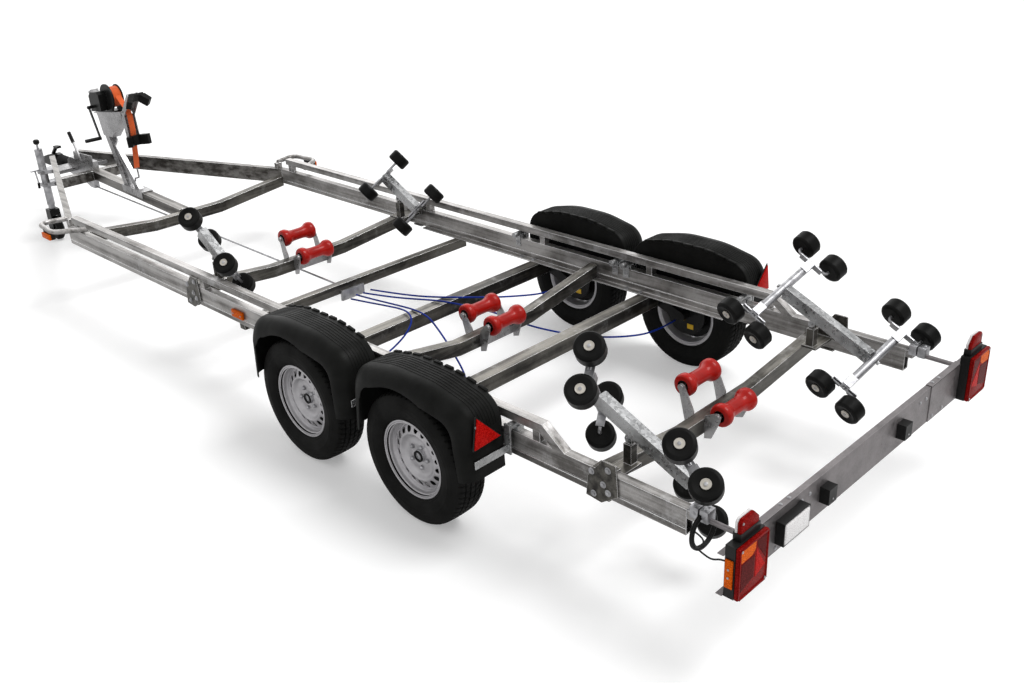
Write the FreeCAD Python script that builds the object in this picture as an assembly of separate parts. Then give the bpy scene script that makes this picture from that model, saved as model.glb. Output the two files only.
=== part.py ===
import FreeCAD, Part
import math
import os

# Tandem-axle boat trailer with keel rollers and four rocking roller groups.
# Lengths are in millimetres. X runs forward to the coupling, Y to the left, Z up.
# X is measured from the rear axle here, and every piece is shifted when it is saved.

V = FreeCAD.Vector
X_AXIS = V(1, 0, 0)
Y_AXIS = V(0, 1, 0)
Z_AXIS = V(0, 0, 1)

# General fits
RUN_FIT = 0.3            # gap round a turning shaft, and between two pieces of different bodies
WELD = 1.0               # how far welded rods and plates run into each other

# Main rails, box section
RAIL_OUT = 897.0         # outer face from the centre line
RAIL_W = 45.0
RAIL_H = 115.0
RAIL_TOP = 554.0
RAIL_WALL = 4.0
RAIL_REAR = -1350.0
CORNER_X = 3856.0        # where rail and drawbar meet on the outer side
RAIL_POCKET = 320.0      # depth of the open rear end
GROOVE_UP = 27.0         # rolled groove above the rail's lower edge
GROOVE_H = 7.0
GROOVE_D = 2.0
RAIL_IN = RAIL_OUT - RAIL_W
RAIL_BOTTOM = RAIL_TOP - RAIL_H
RAIL_MID = RAIL_OUT - RAIL_W / 2

# Upper rails, above the main rails on struts
UPPER_GAP = 50.0
UPPER_H = 41.0
UPPER_FRONT = 3770.0
UPPER_BEND = -620.0      # where the top starts to slope down to the rear
UPPER_REAR = -742.0      # where the slope lands on the main rail
STRUT_L = 40.0
STRUT_XS = (3720.0, 2080.0, 1010.0, 180.0)
UPPER_BOTTOM = RAIL_TOP + UPPER_GAP
UPPER_TOP = UPPER_BOTTOM + UPPER_H

# Guard loops at the front corners
LOOP_R = 17.0
LOOP_Z = 600.0
LOOP_PLAN = ((3560.0, 885.0), (3695.0, 1072.0), (3958.0, 1048.0), (3905.0, 868.0))
LOOP_BENDS = (70.0, 55.0)
LOOP_FOOT = 36.0

# Drawbars
DRAW_SLOPE = 0.372       # how far they close in for each millimetre forward
DRAW_FRONT = 5900.0

# Cross-members
MEMBER_W = 60.0
MEMBER_H = 75.0
FRONT_MEMBER_X = 3870.0
KEEL_XS = (2322.0, 590.0, -865.0)
KINK_Y = 275.0
STRAIGHT_X = 1750.0
STRAIGHT_W = 50.0
STRAIGHT_H = 60.0
STRAIGHT_OVER = 12.0     # how far its ends pass the rails' inner faces
MEMBER_TOPS = ((500.0, 430.0), (508.0, 450.0), (527.5, 430.0), (508.0, 440.0))

# Axle-mounting angle along each rail's inner face
ANGLE_REAR = -350.0
ANGLE_FRONT = 2100.0
ANGLE_T = 6.0
ANGLE_H = 38.0
ANGLE_W = 46.0

# Wheels and axles
AXLE_XS = (0.0, 855.0)
AXLE_LEAD = 185.0        # the beam lies ahead of the wheel centre
BEAM_SIDE = 80.0
WHEEL_R = 325.0
WHEEL_Y = 1030.0
WHEEL_Z = WHEEL_R
TYRE_W = 188.0
RIM_SEAT_R = 178.0
FLANGE_R = 195.0
RIM_W = 139.0
RIM_HOLES = 18
RIM_HOLE_R = 11.5
RIM_HOLE_RING = 138.0    # circle through the holes in the sloping band of a rim
RIM_EDGE = 5.0           # thickness of each flange
RIM_BARREL_R = 166.0
RIM_BARREL_END = -30.0   # where the barrel starts to widen to the inner flange
# Outer face of a rim from its flange to the hub: (ahead of the rim's middle, radius)
RIM_FACE = ((61.0, 180.0), (57.0, 174.0), (44.0, 171.5), (34.0, 164.0), (29.0, 162.0), (28.5, 156.0),
            (42.5, 123.0), (45.0, 115.0), (40.0, 108.0), (27.5, 96.0), (24.5, 82.0), (24.0, 70.0),
            (26.2, 64.0), (26.2, 48.0), (24.5, 42.0), (24.5, 32.0))
RIM_BAND_BACK = ((36.0, 122.0), (22.0, 155.0))
HUB_CAP = (34.0, 29.0)   # face of the wheel's hub cap ahead of the rim's middle, and its radius
HUB_BACK = 14.0
STUB_END = 10.0          # end of the stub axle ahead of the rim's middle
STUB_R = 15.0
ARM_FIT = 10.0           # between a trailing arm and the tyre's inner face
ARM_T = 24.0
ARM_Y1 = WHEEL_Y - TYRE_W / 2 - ARM_FIT
ARM_Y0 = ARM_Y1 - ARM_T
BEAM_FIT = 4.0           # between the end of an axle beam and its trailing arm
BEAM_HALF = ARM_Y0 - BEAM_FIT
DRUM_IN = 50.0           # from the middle of the wheel to the back of its drum
DRUM_R = 116.0
DRUM_BACK = WHEEL_Y - DRUM_IN
DRUM_FIT = 6.0           # between a backplate and its drum
PLATE_T = 8.0
PLATE_Y1 = DRUM_BACK - DRUM_FIT
PLATE_Y0 = PLATE_Y1 - PLATE_T
PLATE_R = 128.0

# Mudguards
GUARD_XS = (-35.0, 805.0)
GUARD_HALF = 395.0
GUARD_FIT = 6.0          # between a mudguard and the tyre's inner face
GUARD_W = 220.0
GUARD_IN = WHEEL_Y - TYRE_W / 2 - GUARD_FIT
GUARD_OUT = GUARD_IN + GUARD_W
GUARD_LOW = 390.0
GUARD_KNEE = (383.0, 705.0)      # corners of the arch, before rounding
GUARD_CREST = (130.0, 760.0)
GUARD_BENDS = (120.0, 600.0)
GUARD_WALL = 4.0
GUARD_LIP = 58.0
GUARD_ROUND = 34.0
STAY_R = 17.0
STAY_XS = (1216.0, 425.0, 345.0, -446.0)
STAY_INNER = 812.0
STRIP_H = 36.0
STRIP_Z = 470.0

# Keel rollers: centres of the front and rear roller over each keel cross-member
KEEL_ROLLERS = (((2412.0, 562.0), (2231.0, 478.0)),
                ((687.0, 504.0), (494.0, 486.0)),
                ((-764.0, 554.0), (-963.0, 467.0)))
KEEL_HALF = 118.0
KEEL_END_R = 47.5
KEEL_WAIST_R = 30.0
KEEL_PIN_R = 9.0
KEEL_PLATE_Y = 123.0
KEEL_PLATE_T = 6.0

# Rocking roller groups
GROUP_Y = 710.0
PIVOT_DROP = 50.0        # pivot below the rocker beam's axis
ROCK_W = 50.0
ROCK_H = 60.0
FRONT_PIVOT = (2205.0, 660.0)
REAR_PIVOT = (-935.0, 621.0)
FRONT_REACH_U = (180.0, -180.0)
REAR_REACH_U = (218.5, -338.5)
FRONT_PITCH = {1: 33.0, -1: 28.0}
REAR_PITCH = {1: 24.0, -1: 24.6}
FRONT_ROLL = {1: 56.0, -1: 46.0}
REAR_ROLL = {1: 54.0, -1: 25.0}
REAR_TILT = {1: (56.0, 15.0), -1: (8.0, 5.0)}
ROLLER_R = 65.0
ROLLER_W = 75.0
ROLLER_EDGE = 11.0
ROLLER_DISH = 7.0         # depth of the dished face
ROLLER_HUB_R = 22.0
ROLLER_RIM_R = 50.0      # where the dish meets the flat ring of the face
HUB_CAP_R = 17.0
ROD_R = 8.0
TUBE_R = 21.0
TUBE_HALF = 209.0
FLAT_DEPTH = 2.0         # flat on each side of a cross tube, where its pin goes through
FLAT_HALF = 20.0
BRACKET_L = 62.0         # folded bracket along the cross tube
BRACKET_T = 5.0
END_PLATE_T = 6.0
END_PLATE_H = 38.0
END_PLATE_HALF = 68.0
END_BOLT_R = 10.0
END_BOLT_H = 7.0
ROD_INNER = 22.0         # inner end of a bent rod from the middle of its end plate
PAIR_OUT = 280.0         # roller centres from the rocker beam along the cross tube
PAIR_HALF = 89.0         # roller centres from the cross tube along its end plate
BAR_OUT = 152.0
BAR_T = 8.0
BAR_HALF = 75.0
BAR_H = 40.0
BAR_ROD_IN = 35.0
POST_W = 40.0
TONGUE_T = 20.0
TONGUE_R = 15.0
EAR_T = 6.0
EAR_R = 16.0
PIVOT_PIN_R = 8.0
CROSS_PIN_R = 6.0

# Centre beam and winch post
CENTRE_W = 80.0
CENTRE_REAR_TOP = 443.0
CENTRE_H = 70.0
TRANSOM_X = 5330.0
TRANSOM_W = 60.0
TRANSOM_TOP = 500.0
TRANSOM_H = 80.0
POST_FOOT_X = 4740.0
POST_TOP = (5050.0, 1196.0)
POST_SIDE = 60.0
POST_WALL = 4.0
POST_POCKET = 110.0      # depth of the post's open upper end
BRACE_FOOT_X = 4555.0
BRACE_TOP = (4925.0, 880.0)
BRACE_SIZE = (40.0, 50.0)
SHOE_XS = (4460.0, 4780.0)
SHOE_T = 8.0
SHOE_H = 45.0
DECK = ((4522.0, 1100.0), (4985.0, 1042.0))
DECK_T = 8.0
DECK_HALF = 60.0
CHEEK_OUTLINE = ((4990.0, 1036.0), (4560.0, 1090.0), (4575.0, 1040.0), (4760.0, 890.0),
                 (4800.0, 858.0), (4945.0, 858.0))
CHEEK_HALF = 36.0        # outer faces of the two cheek plates that join the deck to the post
CHANNEL_SPINE = ((4503.0, 872.0), (4520.0, 1071.0), (4367.0, 1237.0))
CHANNEL_W = 90.0
CHANNEL_T = 40.0
CHANNEL_WALL = 5.0
CHOCK_AT = ((0, 4.0), (1, 232.0))        # run of the channel and distance up it
CHOCK_HALF = 38.0
CHOCK_SEAT = 18.0
CHOCK_ARM = ((2.0, 16.0), (2.0, 66.0), (54.0, 98.0), (72.0, 66.0))      # (behind the seat, sideways)

# Winch and strap
DRUM_AT = (4700.0, 1187.0)
DRUM_ROD_R = 42.0
SPOOL_R = 78.0
CHEEK_NEAR = (48.0, 60.0, 104.0)         # inner face, outer face, radius
CHEEK_FAR = (-36.0, -30.0, 90.0)
SPOOL_FIT = 1.0          # strap roll short of each cheek
WINCH_BASE_XS = (4600.0, 4900.0)
WINCH_BASE_T = 10.0
WINCH_FOOT_T = 6.0
WINCH_BASE_YS = (-45.0, 60.0)
GEARCASE = ((4712.0, 1092.0), (4884.0, 1072.0), (4886.0, 1190.0), (4850.0, 1222.0), (4742.0, 1236.0),
            (4714.0, 1216.0))
GEARCASE_Y = 118.0
CRANK_PIVOT = (4850.0, 1111.0)
CRANK_ELBOW = (4757.0, 884.0)
CRANK_Y = 148.0
CRANK_SIZE = (8.0, 26.0)
CRANK_SHAFT_R = 12.0
GRIP_R = 14.0
GRIP_END = 270.0
STRAP_T = 3.0
STRAP_YS = (-19.0, 25.0)
STRAP_LINE = ((4640.0, 1214.0), (4513.0, 1112.0), (4488.0, 1068.0), (4486.0, 960.0), (4500.0, 872.0),
              (4518.0, 800.0), (4530.0, 720.0), (4548.0, 648.0))
STRAP_SLOT = 8.0         # slot in the channel above and below the strap
HOOK_R = 6.0
HOOK_DROP = 105.0        # the hook's foot on the brace below the end of the strap
HOOK_FIT = 2.0           # hook's tip below the end of the strap

# Coupling and overrun unit
COUPLING_TIP = 6310.0
BALL_X = 6250.0
BALL_Z = 425.0
BALL_R = 25.4
HEAD_REAR = 6040.0
BELLOWS_REAR = 5760.0
HOUSING_HALF = 45.0
SHAFT_Z = 470.0
SHAFT_R = 25.0

# Brake rod and cables
HOUSING_UNDER = ((5360.0, 430.0), (5700.0, 405.0))
BRAKE_ROD_Z = 343.0
BRAKE_ROD_R = 6.0
EQUALISER_BACK = 40.0    # equaliser's rear face behind the middle of the straight cross-member
EQUALISER_Z = 352.0
BRAKE_CABLE_R = 4.5
CABLE_END_X = 65.0       # where a cable meets the backplate, ahead of the wheel centre
CABLE_END_Z = 270.0

# Jockey wheel
JOCKEY_X = 5370.0
JOCKEY_Y = 412.0
JOCKEY_OUTER_R = 30.0
JOCKEY_WALL = 4.0
JOCKEY_LOW = 300.0
JOCKEY_TOP = 760.0
JOCKEY_WHEEL_R = 100.0
JOCKEY_WHEEL_W = 60.0
JOCKEY_PIN_R = 8.0
LEG_TOP = 560.0
FORK_TOP = 262.0

# Light board
BOARD_X = -1610.0
BOARD_T = 3.0
BOARD_LOW = 382.0
BOARD_HIGH = 560.0
BOARD_HALF = 862.0
BOARD_FLANGE = 26.0
LENS_X = -1670.0
LAMP_BODY_X = -1652.0
LAMP_Y0 = 850.0
LAMP_Y1 = 1033.0
LAMP_Z0 = 380.0
LAMP_Z1 = 600.0
PLATE_HOLE_YS = (317.0, -117.0)
PLATE_HOLE_Z = 470.0
PLATE_HOLE_R = 3.2
PLATE_LAMP_YS = (356.0, -279.0)
RAIL_MARKER = (1650.0, 1760.0, 475.0, 520.0)        # x and z limits of the side marker on each rail
MARKER_HOLDER = (3702.0, 3818.0, 1052.0, 1080.0, 546.0, 584.0)      # holder under each guard loop
MARKER_T = 16.0
SUPPORT_R = 11.0
SUPPORT_Z = 535.0
SUPPORT_IN = 240.0       # how far the support tube reaches into the rail

# Cable of the light board
CABLE_R = 3.5
COIL_R = 75.0
COIL_BUNDLE_R = 11.0
COIL_X = -1412.0

MIDDLE_X = (COUPLING_TIP + LENS_X) / 2


def box(x0, x1, y0, y1, z0, z1):
    return Part.makeBox(x1 - x0, y1 - y0, z1 - z0, V(x0, y0, z0))


def rod(start, end, radius):
    along = end - start
    return Part.makeCylinder(radius, along.Length, start, along)


def fuse(*solids):
    return solids[0].multiFuse(list(solids[1:])).removeSplitter()


def cut(solid, *tools):
    return solid.cut(list(tools)).removeSplitter()


def prism(points, direction):
    return Part.Face(Part.makePolygon(points + points[:1])).extrude(direction)


def side_prism(outline, y0, y1):
    """Extrude an (x, z) outline from y0 to y1."""
    return prism([V(x, y0, z) for x, z in outline], V(0, y1 - y0, 0))


def plan_prism(outline, z0, z1):
    """Extrude an (x, y) outline from z0 to z1."""
    return prism([V(x, y, z0) for x, y in outline], V(0, 0, z1 - z0))


def front_prism(outline, x0, x1):
    """Extrude a (y, z) outline from x0 to x1."""
    return prism([V(x0, y, z) for y, z in outline], V(x1 - x0, 0, 0))


def lathe(profile, base, axis):
    """Turned solid; the profile holds (distance along the axis, radius) points."""
    side = Z_AXIS if abs(axis.z) < 0.5 else X_AXIS
    points = [base + axis * along + side * radius for along, radius in profile]
    return Part.Face(Part.makePolygon(points + points[:1])).revolve(base, axis, 360)


def mirrored(shape):
    return shape.mirror(V(0, 0, 0), Y_AXIS)


def beam(start, end, width, height):
    """Straight box section in a vertical plane; width lies level, height lies upright."""
    along = (end - start).normalize()
    across = Z_AXIS.cross(along).normalize()
    lift = along.cross(across)
    corners = [(-1, -1), (1, -1), (1, 1), (-1, 1)]
    points = [start + across * (a * width / 2) + lift * (b * height / 2) for a, b in corners]
    return prism(points, end - start)


def bent_path(points, bends):
    """Straight runs joined by tangent arcs of the given radii."""
    edges = []
    start = points[0]
    for before, corner, after, bend in zip(points, points[1:], points[2:], bends):
        into = (corner - before).normalize()
        out = (after - corner).normalize()
        half_turn = into.getAngle(out) / 2
        reach = bend * math.tan(half_turn)
        inward = (out - into).normalize()
        first = corner - into * reach
        last = corner + out * reach
        middle = corner + inward * (bend / math.cos(half_turn) - bend)
        edges.append(Part.LineSegment(start, first).toShape())
        edges.append(Part.Arc(first, middle, last).toShape())
        start = last
    edges.append(Part.LineSegment(start, points[-1]).toShape())
    return Part.Wire(edges)


def bent_rod(points, bends, radius):
    circle = Part.makeCircle(radius, points[0], points[1] - points[0])
    return bent_path(points, bends).makePipe(Part.Face(Part.Wire(circle)))


def save(name, *solids):
    shape = Part.makeCompound([s.copy() for s in solids])
    shape.translate(V(-MIDDLE_X, 0, 0))
    shape.exportStep("parts/" + name + ".step")


def draw_out(x):
    return RAIL_OUT - DRAW_SLOPE * (x - CORNER_X)


DRAW_W = RAIL_W * math.hypot(1, DRAW_SLOPE)      # drawbar width measured along Y
MITRE_X = CORNER_X - (DRAW_W - RAIL_W) / DRAW_SLOPE


def draw_in(x):
    return draw_out(x) - DRAW_W


def upper_rail():
    slope = UPPER_TOP - RAIL_TOP
    run = UPPER_BEND - UPPER_REAR
    thick = UPPER_H * math.hypot(slope, run) / slope
    foot = UPPER_REAR + thick
    under_bend = foot + run * UPPER_GAP / slope
    outline = [(UPPER_FRONT, UPPER_BOTTOM), (UPPER_FRONT, UPPER_TOP), (UPPER_BEND, UPPER_TOP),
               (UPPER_REAR, RAIL_TOP), (foot, RAIL_TOP), (under_bend, UPPER_BOTTOM)]
    pieces = [side_prism(outline, RAIL_IN, RAIL_OUT)]
    for x in STRUT_XS + (under_bend + STRUT_L / 2,):
        half = STRUT_L / 2
        pieces.append(box(x - half, x + half, RAIL_IN + WELD, RAIL_OUT - WELD, RAIL_TOP, UPPER_BOTTOM))
    return pieces


def guard_loop():
    points = [V(x, y, LOOP_Z) for x, y in LOOP_PLAN]
    loop = bent_rod(points, LOOP_BENDS, LOOP_R)
    foot_x = LOOP_PLAN[-1][0]
    foot = box(foot_x - LOOP_FOOT, foot_x, draw_in(foot_x) + WELD, draw_out(foot_x), RAIL_TOP, LOOP_Z)
    return [loop, foot]


def rail():
    outline = [(RAIL_REAR, RAIL_OUT), (CORNER_X, RAIL_OUT), (MITRE_X, RAIL_IN), (RAIL_REAR, RAIL_IN)]
    body = plan_prism(outline, RAIL_BOTTOM, RAIL_TOP)
    groove_z = RAIL_BOTTOM + GROOVE_UP
    outer_groove = box(RAIL_REAR, CORNER_X, RAIL_OUT - GROOVE_D, RAIL_OUT, groove_z, groove_z + GROOVE_H)
    inner_groove = box(ANGLE_FRONT, CORNER_X, RAIL_IN, RAIL_IN + GROOVE_D, groove_z, groove_z + GROOVE_H)
    pocket = box(RAIL_REAR, RAIL_REAR + RAIL_POCKET, RAIL_IN + RAIL_WALL, RAIL_OUT - RAIL_WALL,
                 RAIL_BOTTOM + RAIL_WALL, RAIL_TOP - RAIL_WALL)
    body = cut(body, outer_groove, inner_groove, pocket)
    guide_low = SUPPORT_Z - 2 * SUPPORT_R
    guide = box(RAIL_REAR - 35, RAIL_REAR + 30, RAIL_IN + RAIL_WALL, RAIL_OUT - RAIL_WALL,
                guide_low, RAIL_TOP - RAIL_WALL)
    support = rod(V(RAIL_REAR - 100, RAIL_MID, SUPPORT_Z), V(RAIL_REAR + 100, RAIL_MID, SUPPORT_Z),
                  SUPPORT_R + RUN_FIT)
    angle = [box(ANGLE_REAR, ANGLE_FRONT, RAIL_IN - ANGLE_T, RAIL_IN, RAIL_BOTTOM, RAIL_BOTTOM + ANGLE_H),
             box(ANGLE_REAR, ANGLE_FRONT, RAIL_IN - ANGLE_W, RAIL_IN, RAIL_BOTTOM, RAIL_BOTTOM + ANGLE_T)]
    whole = fuse(body, guide, *angle, *upper_rail(), *guard_loop())
    return cut(whole, support)


def drawbar():
    outline = [(CORNER_X, RAIL_OUT), (DRAW_FRONT, draw_out(DRAW_FRONT)),
               (DRAW_FRONT, draw_in(DRAW_FRONT)), (MITRE_X, RAIL_IN)]
    return plan_prism(outline, RAIL_BOTTOM, RAIL_TOP)


def bent_member(x, end_top, centre_top, reach):
    top = [(-reach, end_top), (-KINK_Y, centre_top), (KINK_Y, centre_top), (reach, end_top)]
    under = [(y, z - MEMBER_H) for y, z in reversed(top)]
    return front_prism(top + under, x - MEMBER_W / 2, x + MEMBER_W / 2)


def front_member():
    """The foremost cross-member ends on the drawbars just ahead of the corners."""
    rear = FRONT_MEMBER_X - MEMBER_W / 2
    front = FRONT_MEMBER_X + MEMBER_W / 2
    end_top, centre_top = MEMBER_TOPS[0]
    blank = bent_member(FRONT_MEMBER_X, end_top, centre_top, RAIL_OUT)
    outline = [(rear, -draw_in(rear)), (front, -draw_in(front)), (front, draw_in(front)),
               (rear, draw_in(rear))]
    if rear < MITRE_X:
        outline = [(rear, -RAIL_IN), (MITRE_X, -RAIL_IN), (front, -draw_in(front)),
                   (front, draw_in(front)), (MITRE_X, RAIL_IN), (rear, RAIL_IN)]
    return blank.common(plan_prism(outline, 0, RAIL_TOP))


def group_mount(pivot, member_x, shelf_top):
    """Rail clamp, shelf and post that carry one rocker beam on the left side."""
    x, pivot_z = pivot
    half = POST_W / 2
    shelf_front = member_x - MEMBER_W / 2
    shelf_rear = x - 2 * half
    shelf = box(shelf_rear, shelf_front, GROUP_Y - half - 5, RAIL_IN, shelf_top - 12, shelf_top)
    post_top = pivot_z - EAR_R - 9
    post = box(x - half, x + half, GROUP_Y - half, GROUP_Y + half, shelf_top - WELD, post_top)
    tongue = box(x - TONGUE_R, x + TONGUE_R, GROUP_Y - TONGUE_T / 2, GROUP_Y + TONGUE_T / 2,
                 post_top - WELD, pivot_z)
    crown = rod(V(x, GROUP_Y - TONGUE_T / 2, pivot_z), V(x, GROUP_Y + TONGUE_T / 2, pivot_z), TONGUE_R)
    hole = rod(V(x, GROUP_Y - half, pivot_z), V(x, GROUP_Y + half, pivot_z), PIVOT_PIN_R + RUN_FIT)
    clamp_t = 8
    outer = [(x - 95, 470), (x - 85, RAIL_TOP + 56), (x - 15, RAIL_TOP + 56), (x + 60, RAIL_TOP - 40),
             (x + 70, RAIL_BOTTOM - 20), (x - 10, RAIL_BOTTOM - 28)]
    plate = side_prism(outer, RAIL_OUT, RAIL_OUT + clamp_t)
    hook = box(x - 60, x + 40, RAIL_IN - clamp_t, RAIL_OUT + clamp_t, RAIL_TOP, RAIL_TOP + clamp_t)
    inner = box(x - 60, x + 40, RAIL_IN - clamp_t, RAIL_IN, shelf_top - 12, RAIL_TOP + clamp_t)
    foot = box(x - 50, x + 30, RAIL_IN - clamp_t, RAIL_OUT + clamp_t, RAIL_BOTTOM - clamp_t, RAIL_BOTTOM)
    return cut(fuse(shelf, post, tongue, crown, plate, hook, inner, foot), hole)


def axle(wheel_x):
    x = wheel_x + AXLE_LEAD
    half = BEAM_SIDE / 2
    z = RAIL_BOTTOM - half
    main = box(x - half, x + half, -BEAM_HALF, BEAM_HALF, z - half, z + half)
    pieces = [main]
    for side in (1, -1):
        hub = V(wheel_x, 0, WHEEL_Z)
        root = V(x, 0, z)
        arm = prism([root + V(0, 0, 34), hub + V(-8, 0, 30), hub + V(-8, 0, -30), root + V(0, 0, -34)],
                    V(0, ARM_Y1 - ARM_Y0, 0))
        boss = rod(root, root + V(0, ARM_Y1 - ARM_Y0, 0), 42)
        eye = rod(hub, hub + V(0, ARM_Y1 - ARM_Y0, 0), 34)
        carrier = [arm, boss, eye]
        for piece in carrier:
            piece.translate(V(0, ARM_Y0, 0))
        carrier.append(rod(V(x, BEAM_HALF - WELD, z), V(x, ARM_Y0 + WELD, z), 30))
        carrier.append(rod(V(wheel_x, ARM_Y1 - WELD, WHEEL_Z), V(wheel_x, PLATE_Y0 + WELD, WHEEL_Z), 30))
        carrier.append(rod(V(wheel_x, PLATE_Y0, WHEEL_Z), V(wheel_x, PLATE_Y1, WHEEL_Z), PLATE_R))
        carrier.append(rod(V(wheel_x, PLATE_Y1 - WELD, WHEEL_Z), V(wheel_x, WHEEL_Y + STUB_END, WHEEL_Z),
                           STUB_R))
        if side < 0:
            carrier = [mirrored(piece) for piece in carrier]
        pieces += carrier
    return fuse(*pieces)


def tyre(wheel_x, side):
    bead = RIM_W / 2
    half = TYRE_W / 2
    seat = RIM_SEAT_R + RUN_FIT
    profile = [(-bead, seat), (-bead, FLANGE_R + 3), (-half, 255), (-half + 16, WHEEL_R),
               (half - 16, WHEEL_R), (half, 255), (bead, FLANGE_R + 3), (bead, seat)]
    return lathe(profile, V(wheel_x, side * WHEEL_Y, WHEEL_Z), Y_AXIS)


def rim(wheel_x, side):
    half = RIM_W / 2 + RUN_FIT
    edge = half + RIM_EDGE
    cap_y, cap_r = HUB_CAP
    profile = [(-edge, RIM_BARREL_R + 2), (-edge, FLANGE_R), (-half, FLANGE_R), (-half, RIM_SEAT_R),
               (half, RIM_SEAT_R), (half, FLANGE_R), (edge, FLANGE_R), (edge, FLANGE_R - 10), *RIM_FACE,
               (cap_y, cap_r), (cap_y, 0), (HUB_BACK, 0), (HUB_BACK, DRUM_R), *RIM_BAND_BACK,
               (RIM_BAND_BACK[-1][0], RIM_BARREL_R), (RIM_BARREL_END, RIM_BARREL_R)]
    centre = V(wheel_x, WHEEL_Y, WHEEL_Z)
    body = lathe(profile, centre, Y_AXIS)
    back = DRUM_BACK - WHEEL_Y
    drum = rod(centre + Y_AXIS * back, centre + Y_AXIS * (HUB_BACK + WELD), DRUM_R)
    stub = rod(centre + Y_AXIS * (back - 1), centre + Y_AXIS * (STUB_END + RUN_FIT), STUB_R + RUN_FIT)
    holes = []
    for index in range(RIM_HOLES):
        turn = 2 * math.pi * index / RIM_HOLES
        middle = V(wheel_x + RIM_HOLE_RING * math.cos(turn), WHEEL_Y,
                   WHEEL_Z + RIM_HOLE_RING * math.sin(turn))
        holes.append(rod(middle, middle + V(0, half, 0), RIM_HOLE_R))
    solid = cut(fuse(body, drum), stub, *holes)
    return mirrored(solid) if side < 0 else solid


def inset_points(points, inset):
    """Move every run of an open (x, z) outline sideways to its right and join the runs again."""
    lines = []
    for (x0, z0), (x1, z1) in zip(points, points[1:]):
        length = math.hypot(x1 - x0, z1 - z0)
        dx, dz = (x1 - x0) / length, (z1 - z0) / length
        lines.append((x0 - dz * inset, z0 + dx * inset, dx, dz))
    moved = [lines[0][:2]]
    for (ax, az, adx, adz), (bx, bz, bdx, bdz) in zip(lines, lines[1:]):
        step = ((bx - ax) * bdz - (bz - az) * bdx) / (adx * bdz - adz * bdx)
        moved.append((ax + adx * step, az + adz * step))
    x, z, dx, dz = lines[-1]
    length = math.hypot(points[-1][0] - points[-2][0], points[-1][1] - points[-2][1])
    moved.append((x + dx * length, z + dz * length))
    return moved


def guard_block(inset, low, y0, y1):
    """Arched block under a mudguard's outline, centred on x = 0 and open to the level low."""
    arch = [(GUARD_HALF, GUARD_LOW), GUARD_KNEE, GUARD_CREST]
    arch += [(-x, z) for x, z in reversed(arch)]
    points = inset_points(arch, inset)
    lean = (points[1][0] - points[0][0]) / (points[1][1] - points[0][1])
    low_x = points[0][0] + lean * (low - points[0][1])
    points[0] = (low_x, low)
    points[-1] = (-low_x, low)
    bends = [bend - inset for bend in GUARD_BENDS + GUARD_BENDS[::-1]]
    path = bent_path([V(x, y0, z) for x, z in points], bends)
    base = Part.LineSegment(V(-low_x, y0, low), V(low_x, y0, low)).toShape()
    return Part.Face(Part.Wire(path.Edges + [base])).extrude(V(0, y1 - y0, 0))


def rounded_outside(block, y, radius):
    """Round the arched edge on the face at the given y."""
    edges = [edge for edge in block.Edges
             if abs(edge.BoundBox.YMin - y) < 0.01 and abs(edge.BoundBox.YMax - y) < 0.01
             and edge.BoundBox.ZLength + edge.BoundBox.XLength < 2 * GUARD_HALF - 2 * GUARD_LIP]
    return block.makeFillet(radius, edges)


def mudguard(centre_x):
    outer = guard_block(0, GUARD_LOW, GUARD_IN, GUARD_OUT)
    shell = rounded_outside(outer, GUARD_OUT, GUARD_ROUND)
    under = GUARD_LOW - 20
    hollow = guard_block(GUARD_WALL, under, GUARD_IN + GUARD_WALL, GUARD_OUT - GUARD_WALL)
    cavity = rounded_outside(hollow, GUARD_OUT - GUARD_WALL, GUARD_ROUND - GUARD_WALL)
    opening = guard_block(GUARD_LIP, under, GUARD_IN - 10, GUARD_OUT + 10)
    solid = shell.cut([cavity, opening])
    solid.translate(V(centre_x, 0, 0))
    return solid


def stays():
    """Tubes clamped in the gap between the rails, with the strips that hold the mudguards."""
    z = RAIL_TOP + UPPER_GAP / 2
    front_face = GUARD_XS[1] + GUARD_HALF
    mid_front = GUARD_XS[1] - GUARD_HALF
    mid_rear = GUARD_XS[0] + GUARD_HALF
    rear_face = GUARD_XS[0] - GUARD_HALF
    strips = ((front_face, 1), (mid_front, -1), (mid_rear, 1), (rear_face, -1))
    solids = []
    for x, (face, way) in zip(STAY_XS, strips):
        hanger_y = GUARD_IN - RUN_FIT - 8
        tube = rod(V(x, STAY_INNER, z), V(x, hanger_y + WELD, z), STAY_R)
        near, far = sorted((face + way * 0.1, face + way * 5))
        low_x = min(near, x - STAY_R)
        high_x = max(far, x + STAY_R)
        hanger = box(low_x, high_x, hanger_y, hanger_y + 8, STRIP_Z - STRIP_H / 2, z + STAY_R)
        strip = box(near, far, hanger_y, GUARD_OUT - 40, STRIP_Z - STRIP_H / 2, STRIP_Z + STRIP_H / 2)
        saddle = box(x - 30, x + 30, RAIL_IN + 4, RAIL_OUT - 4, RAIL_TOP, z)
        strap = box(x - 20, x + 20, RAIL_IN - 4, RAIL_IN, RAIL_TOP - 55, z)
        solids.append(fuse(tube, hanger, strip, saddle, strap))
    return solids


def keel_roller(centre):
    x, z = centre
    bore = KEEL_PIN_R + RUN_FIT
    half = KEEL_HALF
    profile = [(-half, bore), (-half, KEEL_END_R - 4), (-half + 8, KEEL_END_R), (-half + 28, KEEL_END_R),
               (-half + 58, KEEL_WAIST_R), (half - 58, KEEL_WAIST_R), (half - 28, KEEL_END_R),
               (half - 8, KEEL_END_R), (half, KEEL_END_R - 4), (half, bore)]
    return lathe(profile, V(x, 0, z), Y_AXIS)


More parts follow.
